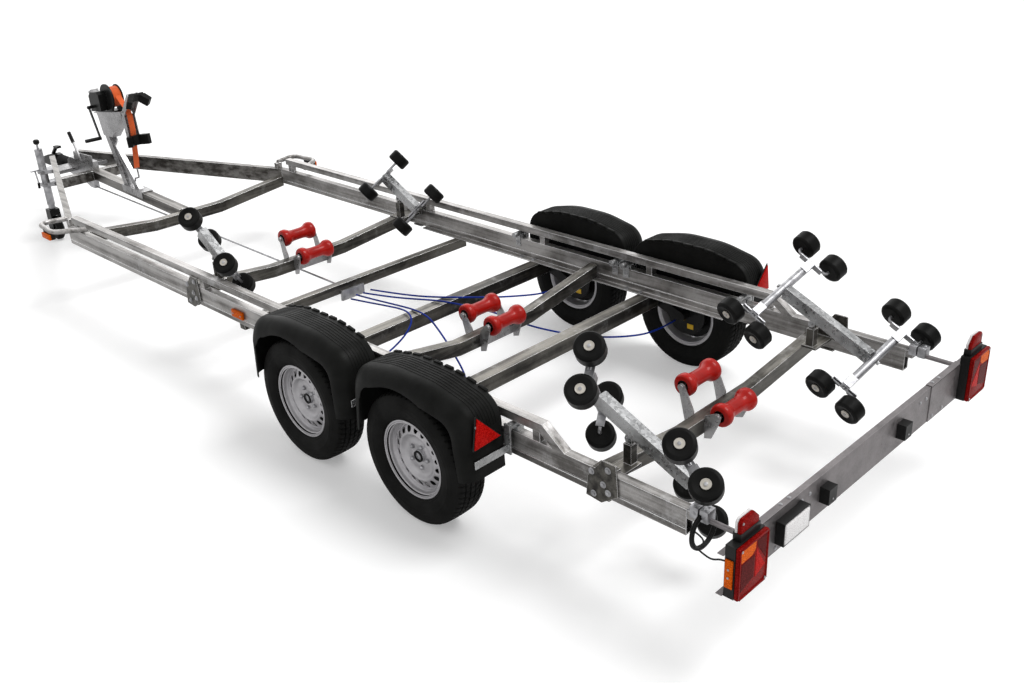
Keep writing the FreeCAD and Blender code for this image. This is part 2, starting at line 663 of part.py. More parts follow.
def keel_bracket(member_x, member_top, centre, way):
    """Folded plate on one face of a keel cross-member, with two ears and the roller's pin."""
    x, z = centre
    face = member_x + way * MEMBER_W / 2
    low = member_top - MEMBER_H - 28
    high = member_top + 12
    ear = [(face, low), (face, high), (x - way * 16, z + 14), (x + way * 2, z + 19), (x + way * 18, z + 6),
           (x + way * 12, z - 22), (face + way * 38, low + 12)]
    web_t = way * KEEL_PLATE_T
    outer_y = KEEL_PLATE_Y + KEEL_PLATE_T
    web = box(*sorted((face, face + web_t)), -outer_y, outer_y, low + 25, member_top - 4)
    pin = rod(V(x, -outer_y - 8, z), V(x, outer_y + 8, z), KEEL_PIN_R)
    heads = [rod(V(x, s * outer_y, z), V(x, s * (outer_y + 9), z), 15) for s in (1, -1)]
    ears = [side_prism(ear, KEEL_PLATE_Y, outer_y), side_prism(ear, -outer_y, -KEEL_PLATE_Y)]
    return fuse(web, pin, *ears, *heads)


def rock_frame(pivot, pitch, side):
    """Placement of a rocker beam: local X along the beam, origin at the pivot."""
    spin = FreeCAD.Rotation(Y_AXIS, -pitch)
    return FreeCAD.Placement(V(pivot[0], side * GROUP_Y, pivot[1]), spin)


def cross_frame(pivot, pitch, side, u, roll):
    """Placement of a cross bar or tube: local Y along the bar, origin on the beam's axis."""
    local = FreeCAD.Placement(V(u, 0, PIVOT_DROP), FreeCAD.Rotation(X_AXIS, side * roll))
    return rock_frame(pivot, pitch, side).multiply(local)


def placed(shape, placement):
    copy = shape.copy()
    copy.Placement = placement.multiply(copy.Placement)
    return copy


def rocker_beam(reaches, end_gap):
    front, rear = reaches
    half_w = ROCK_W / 2
    low = PIVOT_DROP - ROCK_H / 2
    high = PIVOT_DROP + ROCK_H / 2
    body = box(rear + end_gap, front - end_gap, -half_w, half_w, low, high)
    ears = []
    for side in (1, -1):
        y0, y1 = sorted((side * (TONGUE_T / 2 + 1), side * (TONGUE_T / 2 + 1 + EAR_T)))
        ears.append(box(-EAR_R, EAR_R, y0, y1, 0, low + WELD))
        ears.append(rod(V(0, y0, 0), V(0, y1, 0), EAR_R))
    pivot_reach = TONGUE_T / 2 + EAR_T + 9
    pin = rod(V(0, -pivot_reach, 0), V(0, pivot_reach, 0), PIVOT_PIN_R)
    pins = []
    for end, way in ((front, 1), (rear, -1)):
        inner = V(end - way * (end_gap + 4), 0, PIVOT_DROP)
        outer = V(end + way * (end_gap + 8), 0, PIVOT_DROP)
        pins.append(rod(inner, outer, CROSS_PIN_R))
        head = V(end + way * (end_gap + 1), 0, PIVOT_DROP)
        pins.append(rod(head, outer, CROSS_PIN_R + 5))
    return fuse(body, pin, *ears, *pins)


def roller(centre, way, u, w):
    """Black roller on the end of a rod along local Y, with a dished outer face and its hub cap."""
    half = ROLLER_W / 2
    shoulder = ROLLER_R - ROLLER_EDGE / 2
    profile = [(-half, 0), (-half, ROLLER_RIM_R), (-half + 3, shoulder), (-half + ROLLER_EDGE, ROLLER_R),
               (half - ROLLER_EDGE, ROLLER_R), (half - 3, shoulder), (half, ROLLER_RIM_R),
               (half - ROLLER_DISH, ROLLER_HUB_R), (half - 2, HUB_CAP_R), (half - 2, 0)]
    return lathe([(way * along, radius) for along, radius in profile], V(u, centre, w), Y_AXIS)


def front_bar(way):
    """Flat bar at a front rocker's end, with a rod and a roller at each end on its outer face."""
    rod_u = way * (BAR_T / 2 + ROD_R - WELD)
    plate = box(-BAR_T / 2, BAR_T / 2, -BAR_HALF, BAR_HALF, -BAR_H / 2, BAR_H / 2)
    hole = rod(V(-BAR_T, 0, 0), V(BAR_T, 0, 0), CROSS_PIN_R + RUN_FIT)
    pieces = [plate]
    for side in (1, -1):
        pieces.append(rod(V(rod_u, side * BAR_ROD_IN, 0), V(rod_u, side * BAR_OUT, 0), ROD_R))
        pieces.append(roller(side * BAR_OUT, side, rod_u, 0))
    return [cut(fuse(*pieces), hole)]


def folded_bracket(y, way):
    """Upper flange of the folded plate that holds an end plate on its cross tube."""
    y0, y1 = sorted((y + way * WELD, y - way * BRACKET_L))
    return box(-TUBE_R, TUBE_R, y0, y1, TUBE_R - WELD, TUBE_R - WELD + BRACKET_T)


def rear_tube(tilt):
    """Cross tube of a rear rocker with two tilted end plates, four bent rods and four rollers."""
    tube = rod(V(0, -TUBE_HALF, 0), V(0, TUBE_HALF, 0), TUBE_R)
    past = TUBE_R + 5
    hole = rod(V(-past, 0, 0), V(past, 0, 0), CROSS_PIN_R + RUN_FIT)
    flats = [box(*sorted((way * (TUBE_R - FLAT_DEPTH), way * past)), -FLAT_HALF, FLAT_HALF, -past, past)
             for way in (1, -1)]
    turn = FreeCAD.Placement(V(0, 0, 0), FreeCAD.Rotation(Y_AXIS, -tilt))
    whole = [tube]
    for way in (1, -1):
        inner = way * (TUBE_HALF - WELD)
        outer = inner + way * END_PLATE_T
        bolt = rod(V(0, outer - way, 0), V(0, outer + way * END_BOLT_H, 0), END_BOLT_R)
        end_plate = box(-END_PLATE_HALF, END_PLATE_HALF, *sorted((inner, outer)),
                        -END_PLATE_H / 2, END_PLATE_H / 2)
        pieces = [end_plate, bolt, folded_bracket(inner, way)]
        rod_y = outer + way * (ROD_R - WELD)
        for end in (1, -1):
            path = [V(end * ROD_INNER, rod_y, 0), V(end * PAIR_HALF, rod_y, 0),
                    V(end * PAIR_HALF, way * PAIR_OUT, 0)]
            pieces.append(bent_rod(path, [ROD_R + 8], ROD_R))
            pieces.append(roller(way * PAIR_OUT, way, end * PAIR_HALF, 0))
        whole += [placed(piece, turn) for piece in pieces]
    return [cut(fuse(*whole), hole, *flats)]


def centre_beam():
    rear = FRONT_MEMBER_X + MEMBER_W / 2
    front = TRANSOM_X - TRANSOM_W / 2
    outline = [(rear, CENTRE_REAR_TOP), (front, TRANSOM_TOP), (front, TRANSOM_TOP - CENTRE_H),
               (rear, CENTRE_REAR_TOP - CENTRE_H)]
    bar = side_prism(outline, -CENTRE_W / 2, CENTRE_W / 2)
    ahead = TRANSOM_X + TRANSOM_W / 2
    plan = [(front, -draw_in(front)), (ahead, -draw_in(ahead)), (ahead, draw_in(ahead)),
            (front, draw_in(front))]
    transom = plan_prism(plan, TRANSOM_TOP - TRANSOM_H, TRANSOM_TOP)
    return fuse(bar, transom)


def centre_top(x):
    rear = FRONT_MEMBER_X + MEMBER_W / 2
    front = TRANSOM_X - TRANSOM_W / 2
    return CENTRE_REAR_TOP + (TRANSOM_TOP - CENTRE_REAR_TOP) * (x - rear) / (front - rear)


def deck_top(x):
    """Level of the winch deck's top face."""
    (x0, z0), (x1, z1) = DECK
    return z0 + (z1 - z0) * (x - x0) / (x1 - x0)


def channel_frame(run, distance):
    """Placement on the middle line of a run of the bow channel, local Z up it and local X ahead."""
    (x0, z0), (x1, z1) = CHANNEL_SPINE[run:run + 2]
    lean = math.atan2(x1 - x0, z1 - z0)
    place = V(x0 + distance * math.sin(lean), 0, z0 + distance * math.cos(lean))
    return FreeCAD.Placement(place, FreeCAD.Rotation(Y_AXIS, math.degrees(lean)))


def bow_channel():
    """Two welded channel runs, open to the rear, that hold the bow chocks and guide the strap."""
    spine = [V(x, 0, z) for x, z in CHANNEL_SPINE]
    runs = list(zip(spine, spine[1:]))
    solid = fuse(*[beam(low, high, CHANNEL_W, CHANNEL_T) for low, high in runs])
    inner = CHANNEL_W - 2 * CHANNEL_WALL
    hollows = []
    for low, high in runs:
        along = (high - low).normalize()
        back = V(-along.z, 0, along.x) * CHANNEL_WALL
        hollows.append(beam(low - along * 20 + back, high + along * 20 + back, inner, CHANNEL_T))
    bend = CHANNEL_SPINE[1]
    slot_line = thick_line(STRAP_LINE[:3], STRAP_SLOT)
    slot = side_prism(slot_line, STRAP_YS[0] - STRAP_SLOT, STRAP_YS[1] + STRAP_SLOT)
    keep = box(bend[0] - CHANNEL_W, bend[0] + CHANNEL_W, -CHANNEL_W, CHANNEL_W, bend[1] - CHANNEL_W,
               bend[1] + CHANNEL_W)
    return cut(solid, *hollows, slot.common(keep))


def thick_line(points, half):
    """Outline of a strip that follows an (x, z) line, this far to each side of it."""
    return inset_points(points, half) + inset_points(points, -half)[::-1]


def winch_post():
    foot_z = centre_top(POST_FOOT_X)
    leg_foot = V(POST_FOOT_X - 15, 0, foot_z - 30)
    leg = beam(leg_foot, V(POST_TOP[0], 0, POST_TOP[1]), POST_SIDE, POST_SIDE)
    brace_foot = V(BRACE_FOOT_X, 0, centre_top(BRACE_FOOT_X) - 20)
    brace = beam(brace_foot, V(BRACE_TOP[0], 0, BRACE_TOP[1]), *BRACE_SIZE)
    rear, front = SHOE_XS
    shoe_side = [(rear, centre_top(rear) - SHOE_H), (rear, centre_top(rear) + SHOE_T),
                 (front, centre_top(front) + SHOE_T), (front, centre_top(front) - SHOE_H)]
    half = CENTRE_W / 2
    shoe = side_prism(shoe_side, -half - SHOE_T, half + SHOE_T)
    plates = side_prism(list(CHEEK_OUTLINE), -CHEEK_HALF, CHEEK_HALF)
    (rear, rear_z), (front, front_z) = DECK
    deck_side = [(front, front_z - DECK_T), DECK[1], DECK[0], (rear, rear_z - DECK_T)]
    deck = side_prism(deck_side, -DECK_HALF, DECK_HALF)
    hook_x, hook_z = STRAP_LINE[-1]
    hook_foot = hook_z - HOOK_DROP
    seat_x = BRACE_FOOT_X
    seat_x += (hook_foot - centre_top(BRACE_FOOT_X) + 20) * (BRACE_TOP[0] - seat_x) / (BRACE_TOP[1] - foot_z)
    middle = sum(STRAP_YS) / 2
    hook_path = [V(hook_x, middle, hook_z - HOOK_FIT), V(hook_x - 6, middle, hook_foot + 30),
                 V(seat_x, middle, hook_foot)]
    hook = bent_rod(hook_path, [2 * HOOK_R], HOOK_R)
    top = V(POST_TOP[0], 0, POST_TOP[1])
    up = (top - leg_foot).normalize()
    inner = POST_SIDE - 2 * POST_WALL
    pocket = beam(top - up * POST_POCKET, top + up * POST_WALL, inner, inner)
    return cut(fuse(leg, brace, shoe, plates, deck, bow_channel(), hook), centre_beam(), pocket)


def bow_chocks():
    """Two black V-shaped bow stops on the bow channel's open side."""
    chocks = []
    for run, distance in CHOCK_AT:
        seat = box(-CHOCK_SEAT, 0, -CHANNEL_W / 2 - 12, CHANNEL_W / 2 + 12, -CHOCK_HALF, CHOCK_HALF)
        pieces = [seat]
        for side in (1, -1):
            arm = [V(-back - CHOCK_SEAT / 2, side * y, -CHOCK_HALF) for back, y in CHOCK_ARM]
            pieces.append(prism(arm, V(0, 0, 2 * CHOCK_HALF)))
        chock = fuse(*pieces)
        chock.translate(V(-CHANNEL_T / 2, 0, 0))
        chocks.append(placed(chock, channel_frame(run, distance)))
    return chocks


def winch():
    x, z = DRUM_AT
    rear, front = WINCH_BASE_XS
    y0, y1 = WINCH_BASE_YS
    base = side_prism([(rear, deck_top(rear)), (front, deck_top(front)),
                       (front, deck_top(front) + WINCH_BASE_T), (rear, deck_top(rear) + WINCH_BASE_T)], y0, y1)
    near_in, near_out, near_r = CHEEK_NEAR
    far_out, far_in, far_r = CHEEK_FAR
    gearcase = side_prism(list(GEARCASE), near_out - WELD, GEARCASE_Y)
    cheek_far = rod(V(x, far_out, z), V(x, far_in, z), far_r)
    cheek_near = rod(V(x, near_in, z), V(x, near_out, z), near_r)
    drum = rod(V(x, far_out, z), V(x, near_out, z), DRUM_ROD_R)
    above = side_prism([(rear - 50, deck_top(rear - 50)), (front, deck_top(front)), (front, z + 2 * near_r),
                        (rear - 50, z + 2 * near_r)], y0, y1)
    cheeks = fuse(cheek_far, cheek_near, drum).common(above)
    pivot_x, pivot_z = CRANK_PIVOT
    elbow_x, elbow_z = CRANK_ELBOW
    shaft = rod(V(pivot_x, GEARCASE_Y - WELD, pivot_z), V(pivot_x, CRANK_Y + CRANK_SHAFT_R, pivot_z),
                CRANK_SHAFT_R)
    crank = beam(V(pivot_x, CRANK_Y, pivot_z), V(elbow_x, CRANK_Y, elbow_z - 12), *CRANK_SIZE)
    grip = rod(V(elbow_x, CRANK_Y - CRANK_SIZE[0] / 2, elbow_z), V(elbow_x, GRIP_END, elbow_z), GRIP_R)
    foot_side = [(x - 70, deck_top(x - 70)), (x + 60, deck_top(x + 60)), (x + 45, z - 50), (x - 45, z - 50)]
    feet = [side_prism(foot_side, out, out + WINCH_FOOT_T) for out in (near_in, far_out)]
    return fuse(base, gearcase, cheeks, shaft, crank, grip, *feet)


def winch_strap():
    """Orange webbing wound on the drum, with its run through the bow channel down to its hook."""
    x, z = DRUM_AT
    y0 = CHEEK_FAR[1] + SPOOL_FIT
    y1 = CHEEK_NEAR[0] - SPOOL_FIT
    spool = rod(V(x, y0, z), V(x, y1, z), SPOOL_R)
    bore = rod(V(x, y0 - WELD, z), V(x, y1 + WELD, z), DRUM_ROD_R + RUN_FIT)
    line = side_prism(thick_line(STRAP_LINE, STRAP_T / 2), *STRAP_YS)
    return cut(fuse(spool, line), bore)


def coupling_head():
    tip = COUPLING_TIP
    body = side_prism([(HEAD_REAR, 515), (HEAD_REAR + 60, 520), (tip - 120, 500), (tip - 20, 470), (tip, 440),
                       (tip - 4, 405), (tip - 120, 405), (tip - 190, 425), (HEAD_REAR, 425)], -38, 38)
    neck = rod(V(HEAD_REAR - 20, 0, SHAFT_Z), V(HEAD_REAR + 20, 0, SHAFT_Z), 34)
    socket = Part.makeSphere(BALL_R, V(BALL_X, 0, BALL_Z))
    mouth = rod(V(BALL_X, 0, BALL_Z), V(BALL_X, 0, 380), BALL_R)
    handle = beam(V(HEAD_REAR + 110, 0, 510), V(HEAD_REAR + 20, 0, 580), 30, 14)
    grip = beam(V(HEAD_REAR + 35, 0, 582), V(HEAD_REAR - 50, 0, 590), 36, 20)
    return cut(fuse(body, neck, handle, grip), socket, mouth)


def overrun_housing():
    half = HOUSING_HALF
    rear = TRANSOM_X + TRANSOM_W / 2
    low_front = HOUSING_UNDER[1][0]
    body = side_prism([(rear, housing_under(rear)), (rear, 560), (low_front, 560), (BELLOWS_REAR, 530),
                       (BELLOWS_REAR, 415), (low_front, housing_under(low_front))], -half, half)
    wing_rear = rear + 200
    wing_front = rear + 380
    wing = [(wing_rear, draw_in(wing_rear)), (wing_front, draw_in(wing_front)),
            (wing_front, -draw_in(wing_front)), (wing_rear, -draw_in(wing_rear))]
    bolts = plan_prism(wing, 470, 500)
    plate = side_prism([(rear - 110, 545), (rear - 120, 640), (rear + 230, 628), (rear + 240, 470),
                        (rear + 40, 470), (rear + 12, 502)], half, half + 6)
    spacer = box(rear, rear + 230, half - 5, half + 1, 480, 560)
    lever = beam(V(rear + 70, half + 14, 560), V(rear + 200, half + 14, 785), 12, 22)
    grip = rod(V(rear + 160, half + 14, 716), V(rear + 206, half + 14, 796), 15)
    pivot = rod(V(rear + 75, half, 570), V(rear + 75, half + 22, 570), 14)
    return fuse(body, bolts, plate, spacer, lever, grip, pivot)


def bellows():
    length = HEAD_REAR - 20 - BELLOWS_REAR
    folds = 6
    step = length / folds
    profile = [(0, SHAFT_R + RUN_FIT)]
    for index in range(folds):
        profile.append((index * step, 38))
        profile.append((index * step + step / 2, 52))
    profile += [(length, 38), (length, SHAFT_R + RUN_FIT)]
    return lathe(profile, V(BELLOWS_REAR, 0, SHAFT_Z), X_AXIS)


def housing_under(x):
    """Level of the overrun housing's underside."""
    (x0, z0), (x1, z1) = HOUSING_UNDER
    return z0 + (z1 - z0) * (x - x0) / (x1 - x0)


def brake_rod():
    """Pull rod from the overrun lever to the equaliser under the straight cross-member."""
    rear = STRAIGHT_X - EQUALISER_BACK
    front = TRANSOM_X + TRANSOM_W / 2
    under = RAIL_BOTTOM - STRAIGHT_H
    bracket = box(rear, rear + 15, 20, 190, BRAKE_ROD_Z - 8, under + 20)
    seat = box(rear, STRAIGHT_X + STRAIGHT_W / 2, 30, 180, under - 8, under)
    line = rod(V(rear + 10, 60, BRAKE_ROD_Z), V(front + 40, 0, BRAKE_ROD_Z), BRAKE_ROD_R)
    link_rear = front + 12
    link_front = front + 240
    linkage = side_prism([(link_rear, housing_under(link_rear)), (link_front, housing_under(link_front)),
                          (link_front, 385), (front + 90, 335), (link_rear, 335)], -22, 22)
    return fuse(bracket, seat, line, linkage)


def brake_cables():
    """Four sheathed brake cables from the equaliser to the wheel backplates."""
    start_x = STRAIGHT_X - EQUALISER_BACK
    cables = []
    ends = ((AXLE_XS[1], 1, 165), (AXLE_XS[0], 1, 130), (AXLE_XS[0], -1, 80), (AXLE_XS[1], -1, 45))
    for wheel_x, side, y in ends:
        beam_x = wheel_x + AXLE_LEAD
        end_x = wheel_x + CABLE_END_X
        points = [V(start_x, y, EQUALISER_Z), V(start_x - 200, y, EQUALISER_Z),
                  V(beam_x + 120, side * 430, 322),
                  V(beam_x - 90, side * 780, 320), V(end_x, side * 880, CABLE_END_Z),
                  V(end_x, side * (PLATE_Y0 - RUN_FIT), CABLE_END_Z)]
        cables.append(bent_rod(points, [120, 150, 110, 40], BRAKE_CABLE_R))
    return cables


def jockey_outer():
    base = V(JOCKEY_X, JOCKEY_Y, 0)
    outer = rod(base + V(0, 0, JOCKEY_LOW), base + V(0, 0, JOCKEY_TOP), JOCKEY_OUTER_R)
    bore = rod(base + V(0, 0, JOCKEY_LOW - 1), base + V(0, 0, JOCKEY_TOP - 12), JOCKEY_OUTER_R - JOCKEY_WALL)
    neck = rod(base + V(0, 0, JOCKEY_TOP - WELD), base + V(0, 0, JOCKEY_TOP + 45), 8)
    knob_profile = [(0, 0), (0, 16), (12, 24), (30, 24), (38, 14), (38, 0)]
    knob = lathe(knob_profile, base + V(0, 0, JOCKEY_TOP + 40), Z_AXIS)
    face = draw_out(JOCKEY_X)
    pad = [(JOCKEY_X - 60, draw_out(JOCKEY_X - 60)), (JOCKEY_X + 60, draw_out(JOCKEY_X + 60)),
           (JOCKEY_X + 60, face + 10),
           (JOCKEY_X + 34, JOCKEY_Y), (JOCKEY_X + 34, JOCKEY_Y + 36), (JOCKEY_X - 34, JOCKEY_Y + 36),
           (JOCKEY_X - 34, JOCKEY_Y), (JOCKEY_X - 60, face + 36)]
    clamps = [plan_prism(pad, low, low + 30) for low in (455, 560)]
    joined = fuse(outer, neck, knob, *clamps)
    return cut(joined, bore)


def jockey_leg():
    base = V(JOCKEY_X, JOCKEY_Y, 0)
    radius = JOCKEY_OUTER_R - JOCKEY_WALL - RUN_FIT
    leg = rod(base + V(0, 0, FORK_TOP + 3), base + V(0, 0, LEG_TOP), radius)
    pin = rod(base + V(0, 0, FORK_TOP - 22), base + V(0, 0, FORK_TOP + 4), 12)
    return fuse(leg, pin)


def jockey_fork():
    base = V(JOCKEY_X, JOCKEY_Y, 0)
    half = JOCKEY_WHEEL_W / 2 + 6
    outline = [(-34, 100), (34, 100), (44, 190), (40, FORK_TOP), (-40, FORK_TOP), (-44, 190)]
    block = side_prism([(JOCKEY_X + x, z) for x, z in outline], JOCKEY_Y - half - 5, JOCKEY_Y + half + 5)
    bottom = rod(V(JOCKEY_X, JOCKEY_Y - half - 5, 100), V(JOCKEY_X, JOCKEY_Y + half + 5, 100), 34)
    gap = box(JOCKEY_X - 60, JOCKEY_X + 60, JOCKEY_Y - half, JOCKEY_Y + half, 40, 212)
    pin_half = half + 9
    axle_pin = rod(base + V(0, -pin_half, JOCKEY_WHEEL_R), base + V(0, pin_half, JOCKEY_WHEEL_R),
                   JOCKEY_PIN_R)
    swivel = rod(base + V(0, 0, FORK_TOP - 22 - RUN_FIT), base + V(0, 0, FORK_TOP + 1), 12 + RUN_FIT)
    return cut(fuse(cut(fuse(block, bottom), gap), axle_pin), swivel)


def jockey_wheel():
    half = JOCKEY_WHEEL_W / 2
    bore = JOCKEY_PIN_R + RUN_FIT
    profile = [(-half, bore), (-half, 84), (-half + 14, JOCKEY_WHEEL_R), (half - 14, JOCKEY_WHEEL_R),
               (half, 84), (half, bore)]
    return lathe(profile, V(JOCKEY_X, JOCKEY_Y, JOCKEY_WHEEL_R), Y_AXIS)


def light_board():
    front = BOARD_X + BOARD_T
    pieces = [box(BOARD_X, front, -BOARD_HALF, BOARD_HALF, BOARD_LOW, BOARD_HIGH),
              box(BOARD_X, BOARD_X + BOARD_FLANGE, -BOARD_HALF, BOARD_HALF, BOARD_HIGH - BOARD_T, BOARD_HIGH),
              box(BOARD_X, BOARD_X + BOARD_FLANGE, -BOARD_HALF, BOARD_HALF, BOARD_LOW, BOARD_LOW + BOARD_T)]
    for side in (1, -1):
        y = side * RAIL_MID
        pieces.append(rod(V(BOARD_X + WELD, y, SUPPORT_Z), V(RAIL_REAR + SUPPORT_IN, y, SUPPORT_Z),
                          SUPPORT_R))
        y0, y1 = sorted((side * (BOARD_HALF - 2), side * (LAMP_Y1 - 20)))
        pieces.append(box(BOARD_X, front, y0, y1, BOARD_LOW, BOARD_HIGH))
    holes = [rod(V(BOARD_X - 1, y, PLATE_HOLE_Z), V(front + 1, y, PLATE_HOLE_Z), PLATE_HOLE_R)
             for y in PLATE_HOLE_YS]
    return cut(fuse(*pieces), *holes)


def lamp_housings():
    housings = []
    for side in (1, -1):
        y0, y1 = sorted((side * LAMP_Y0, side * LAMP_Y1))
        lamp = box(LAMP_BODY_X, BOARD_X, y0, y1, LAMP_Z0, LAMP_Z1)
        m0, m1 = sorted((side * 930, side * 990))
        marker = box(LAMP_BODY_X + 10, BOARD_X, m0, m1, LAMP_Z1 - WELD, LAMP_Z1 + 30)
        housings.append(fuse(lamp, marker))
    housings.append(box(BOARD_X - 42, BOARD_X, 530, 710, 425, 525))
    for y in PLATE_LAMP_YS:
        housings.append(box(BOARD_X - 42, BOARD_X, y - 30, y + 30, 440, 510))
    x0, x1, y0, y1, z0, z1 = MARKER_HOLDER
    holder = cut(box(x0, x1, y0, y1, z0, LOOP_Z), guard_loop()[0])
    housings += [holder, mirrored(holder)]
    return housings


def lamp_lenses():
    lenses = []
    for side in (1, -1):
        y0, y1 = sorted((side * LAMP_Y0, side * LAMP_Y1))
        lenses.append(box(LENS_X, LAMP_BODY_X, y0, y1, LAMP_Z0, LAMP_Z1))
        m0, m1 = sorted((side * 930, side * 990))
        lenses.append(box(LAMP_BODY_X + 12, BOARD_X - 8, m0, m1, LAMP_Z1 + 30, LAMP_Z1 + 130))
        y0, y1 = sorted((side * RAIL_OUT, side * (RAIL_OUT + MARKER_T)))
        x0, x1, z0, z1 = RAIL_MARKER
        lenses.append(box(x0, x1, y0, y1, z0, z1))
        x0, x1, _, outer, z0, z1 = MARKER_HOLDER
        y0, y1 = sorted((side * outer, side * (outer + MARKER_T)))
        lenses.append(box(x0, x1, y0, y1, z0, z1))
    lenses.append(box(BOARD_X - 56, BOARD_X - 42, 530, 710, 425, 525))
    return lenses


def cable_route():
    """Centre line of the free stretch of cable from the left lamp to the coil."""
    return [V(BOARD_X + BOARD_T, 962, 470), V(BOARD_X + 55, 962, 470), V(BOARD_X + 100, 955, 440),
            V(BOARD_X + 145, 930, 420), V(COIL_X - COIL_BUNDLE_R, 905, 420)]


def cable_tail():
    """Centre line from the coil into the open end of the left rail, where it meets the inner wall."""
    wall = RAIL_IN + RAIL_WALL
    return [V(COIL_X + COIL_BUNDLE_R, 850, 416), V(-1372, 856, 437), V(-1340, wall + 8, 453),
            V(-1304, wall + 20, 462), V(-1304, wall, 462)]


def coil():
    centre = V(COIL_X, RAIL_MID, SUPPORT_Z + SUPPORT_R + RUN_FIT - COIL_R + COIL_BUNDLE_R)
    return Part.makeTorus(COIL_R, COIL_BUNDLE_R, centre, X_AXIS)


def bend_radii(points):
    """The largest arcs that the runs beside each point leave room for."""
    radii = []
    for before, corner, after in zip(points, points[1:], points[2:]):
        into = corner - before
        out = after - corner
        shorter = min(into.Length, out.Length)
        radii.append(0.45 * shorter / math.tan(into.getAngle(out) / 2))
    return radii


def main():
    os.makedirs("parts", exist_ok=True)
    left_rail = rail()
    save("rail_left", left_rail)
    save("rail_right", mirrored(left_rail))
    save("drawbar_left", drawbar())
    save("drawbar_right", mirrored(drawbar()))
    save("centre_beam", centre_beam())
    save("cross_front", front_member())
    tops = dict(zip(KEEL_XS, MEMBER_TOPS[1:]))
    mounts = {KEEL_XS[0]: (FRONT_PIVOT, 530.0), KEEL_XS[2]: (REAR_PIVOT, 505.0)}
    for name, x in zip(("cross_keel_front", "cross_keel_mid", "cross_keel_rear"), KEEL_XS):
        end_top, mid_top = tops[x]
        reach = RAIL_IN - ANGLE_T if ANGLE_REAR < x < ANGLE_FRONT else RAIL_IN
        pieces = [bent_member(x, end_top, mid_top, reach)]
        if x in mounts:
            mount = group_mount(mounts[x][0], x, mounts[x][1])
            pieces += [mount, mirrored(mount)]
        save(name, fuse(*pieces) if len(pieces) > 1 else pieces[0])
    straight_top = RAIL_BOTTOM
    half = STRAIGHT_W / 2
    save("cross_straight", box(STRAIGHT_X - half, STRAIGHT_X + half, -RAIL_IN - STRAIGHT_OVER,
                               RAIL_IN + STRAIGHT_OVER, straight_top - STRAIGHT_H, straight_top))
    for name, x in zip(("rear", "front"), AXLE_XS):
        save("axle_" + name, axle(x))
        for side_name, side in (("left", 1), ("right", -1)):
            save("tyre_" + name + "_" + side_name, tyre(x, side))
            save("rim_" + name + "_" + side_name, rim(x, side))
    guards = [mudguard(x) for x in GUARD_XS]
    save("mudguards_left", *guards)
    save("mudguards_right", *[mirrored(guard) for guard in guards])
    left_stays = stays()
    save("mudguard_stays", *left_stays, *[mirrored(stay) for stay in left_stays])
    brackets = []
    for index, (x, pair) in enumerate(zip(KEEL_XS, KEEL_ROLLERS)):
        for way, label, centre in zip((1, -1), ("a", "b"), pair):
            brackets.append(keel_bracket(x, tops[x][1], centre, way))
            save("keel_roller_" + str(index + 1) + label, keel_roller(centre))
    save("keel_brackets", *brackets)
    for side_name, side in (("left", 1), ("right", -1)):
        frame = rock_frame(FRONT_PIVOT, FRONT_PITCH[side], side)
        save("front_rocker_" + side_name, placed(rocker_beam(FRONT_REACH_U, 5), frame))
        for label, u, way in zip(("a", "b"), FRONT_REACH_U, (1, -1)):
            place = cross_frame(FRONT_PIVOT, FRONT_PITCH[side], side, u, FRONT_ROLL[side])
            save("front_bar_" + label + "_" + side_name, *[placed(s, place) for s in front_bar(way)])
        frame = rock_frame(REAR_PIVOT, REAR_PITCH[side], side)
        save("rear_rocker_" + side_name, placed(rocker_beam(REAR_REACH_U, TUBE_R + 1), frame))
        for label, u, tilt in zip(("a", "b"), REAR_REACH_U, REAR_TILT[side]):
            place = cross_frame(REAR_PIVOT, REAR_PITCH[side], side, u, REAR_ROLL[side])
            save("rear_tube_" + label + "_" + side_name, *[placed(s, place) for s in rear_tube(tilt)])
    save("winch_post", winch_post())
    save("bow_chocks", *bow_chocks())
    save("winch", winch())
    save("winch_strap", winch_strap())
    save("coupling_head", coupling_head())
    save("overrun_housing", overrun_housing())
    save("bellows", bellows())
    save("brake_rod", brake_rod())
    save("brake_cables", *brake_cables())
    save("jockey_outer", jockey_outer())
    save("jockey_leg", jockey_leg())
    save("jockey_fork", jockey_fork())
    save("jockey_wheel", jockey_wheel())
    save("light_board", light_board())
    save("lamp_housings", *lamp_housings())
    save("lamp_lenses", *lamp_lenses())
    runs = [cable_route(), cable_tail()]
    save("light_cable", *[bent_rod(run, bend_radii(run), CABLE_R) for run in runs])
    save("light_cable_coil", coil())


if __name__ == "__main__":
    main()
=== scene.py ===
import math

import bmesh
import bpy
from mathutils import Matrix, Vector

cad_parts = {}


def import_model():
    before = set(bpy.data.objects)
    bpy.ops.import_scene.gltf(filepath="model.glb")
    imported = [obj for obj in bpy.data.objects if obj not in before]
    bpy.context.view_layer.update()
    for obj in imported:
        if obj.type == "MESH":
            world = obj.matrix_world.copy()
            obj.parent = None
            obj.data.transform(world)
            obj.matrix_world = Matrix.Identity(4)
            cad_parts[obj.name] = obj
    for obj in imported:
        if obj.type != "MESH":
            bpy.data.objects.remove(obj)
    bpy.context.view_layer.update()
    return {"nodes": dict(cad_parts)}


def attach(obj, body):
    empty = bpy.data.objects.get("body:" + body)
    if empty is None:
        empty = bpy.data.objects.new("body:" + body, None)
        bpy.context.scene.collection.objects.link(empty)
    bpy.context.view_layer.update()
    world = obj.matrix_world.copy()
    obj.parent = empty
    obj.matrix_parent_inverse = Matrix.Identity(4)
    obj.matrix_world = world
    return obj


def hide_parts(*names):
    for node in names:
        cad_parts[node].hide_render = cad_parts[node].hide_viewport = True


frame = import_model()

nodes = frame["nodes"]
SIDES = {"left": 1, "right": -1}


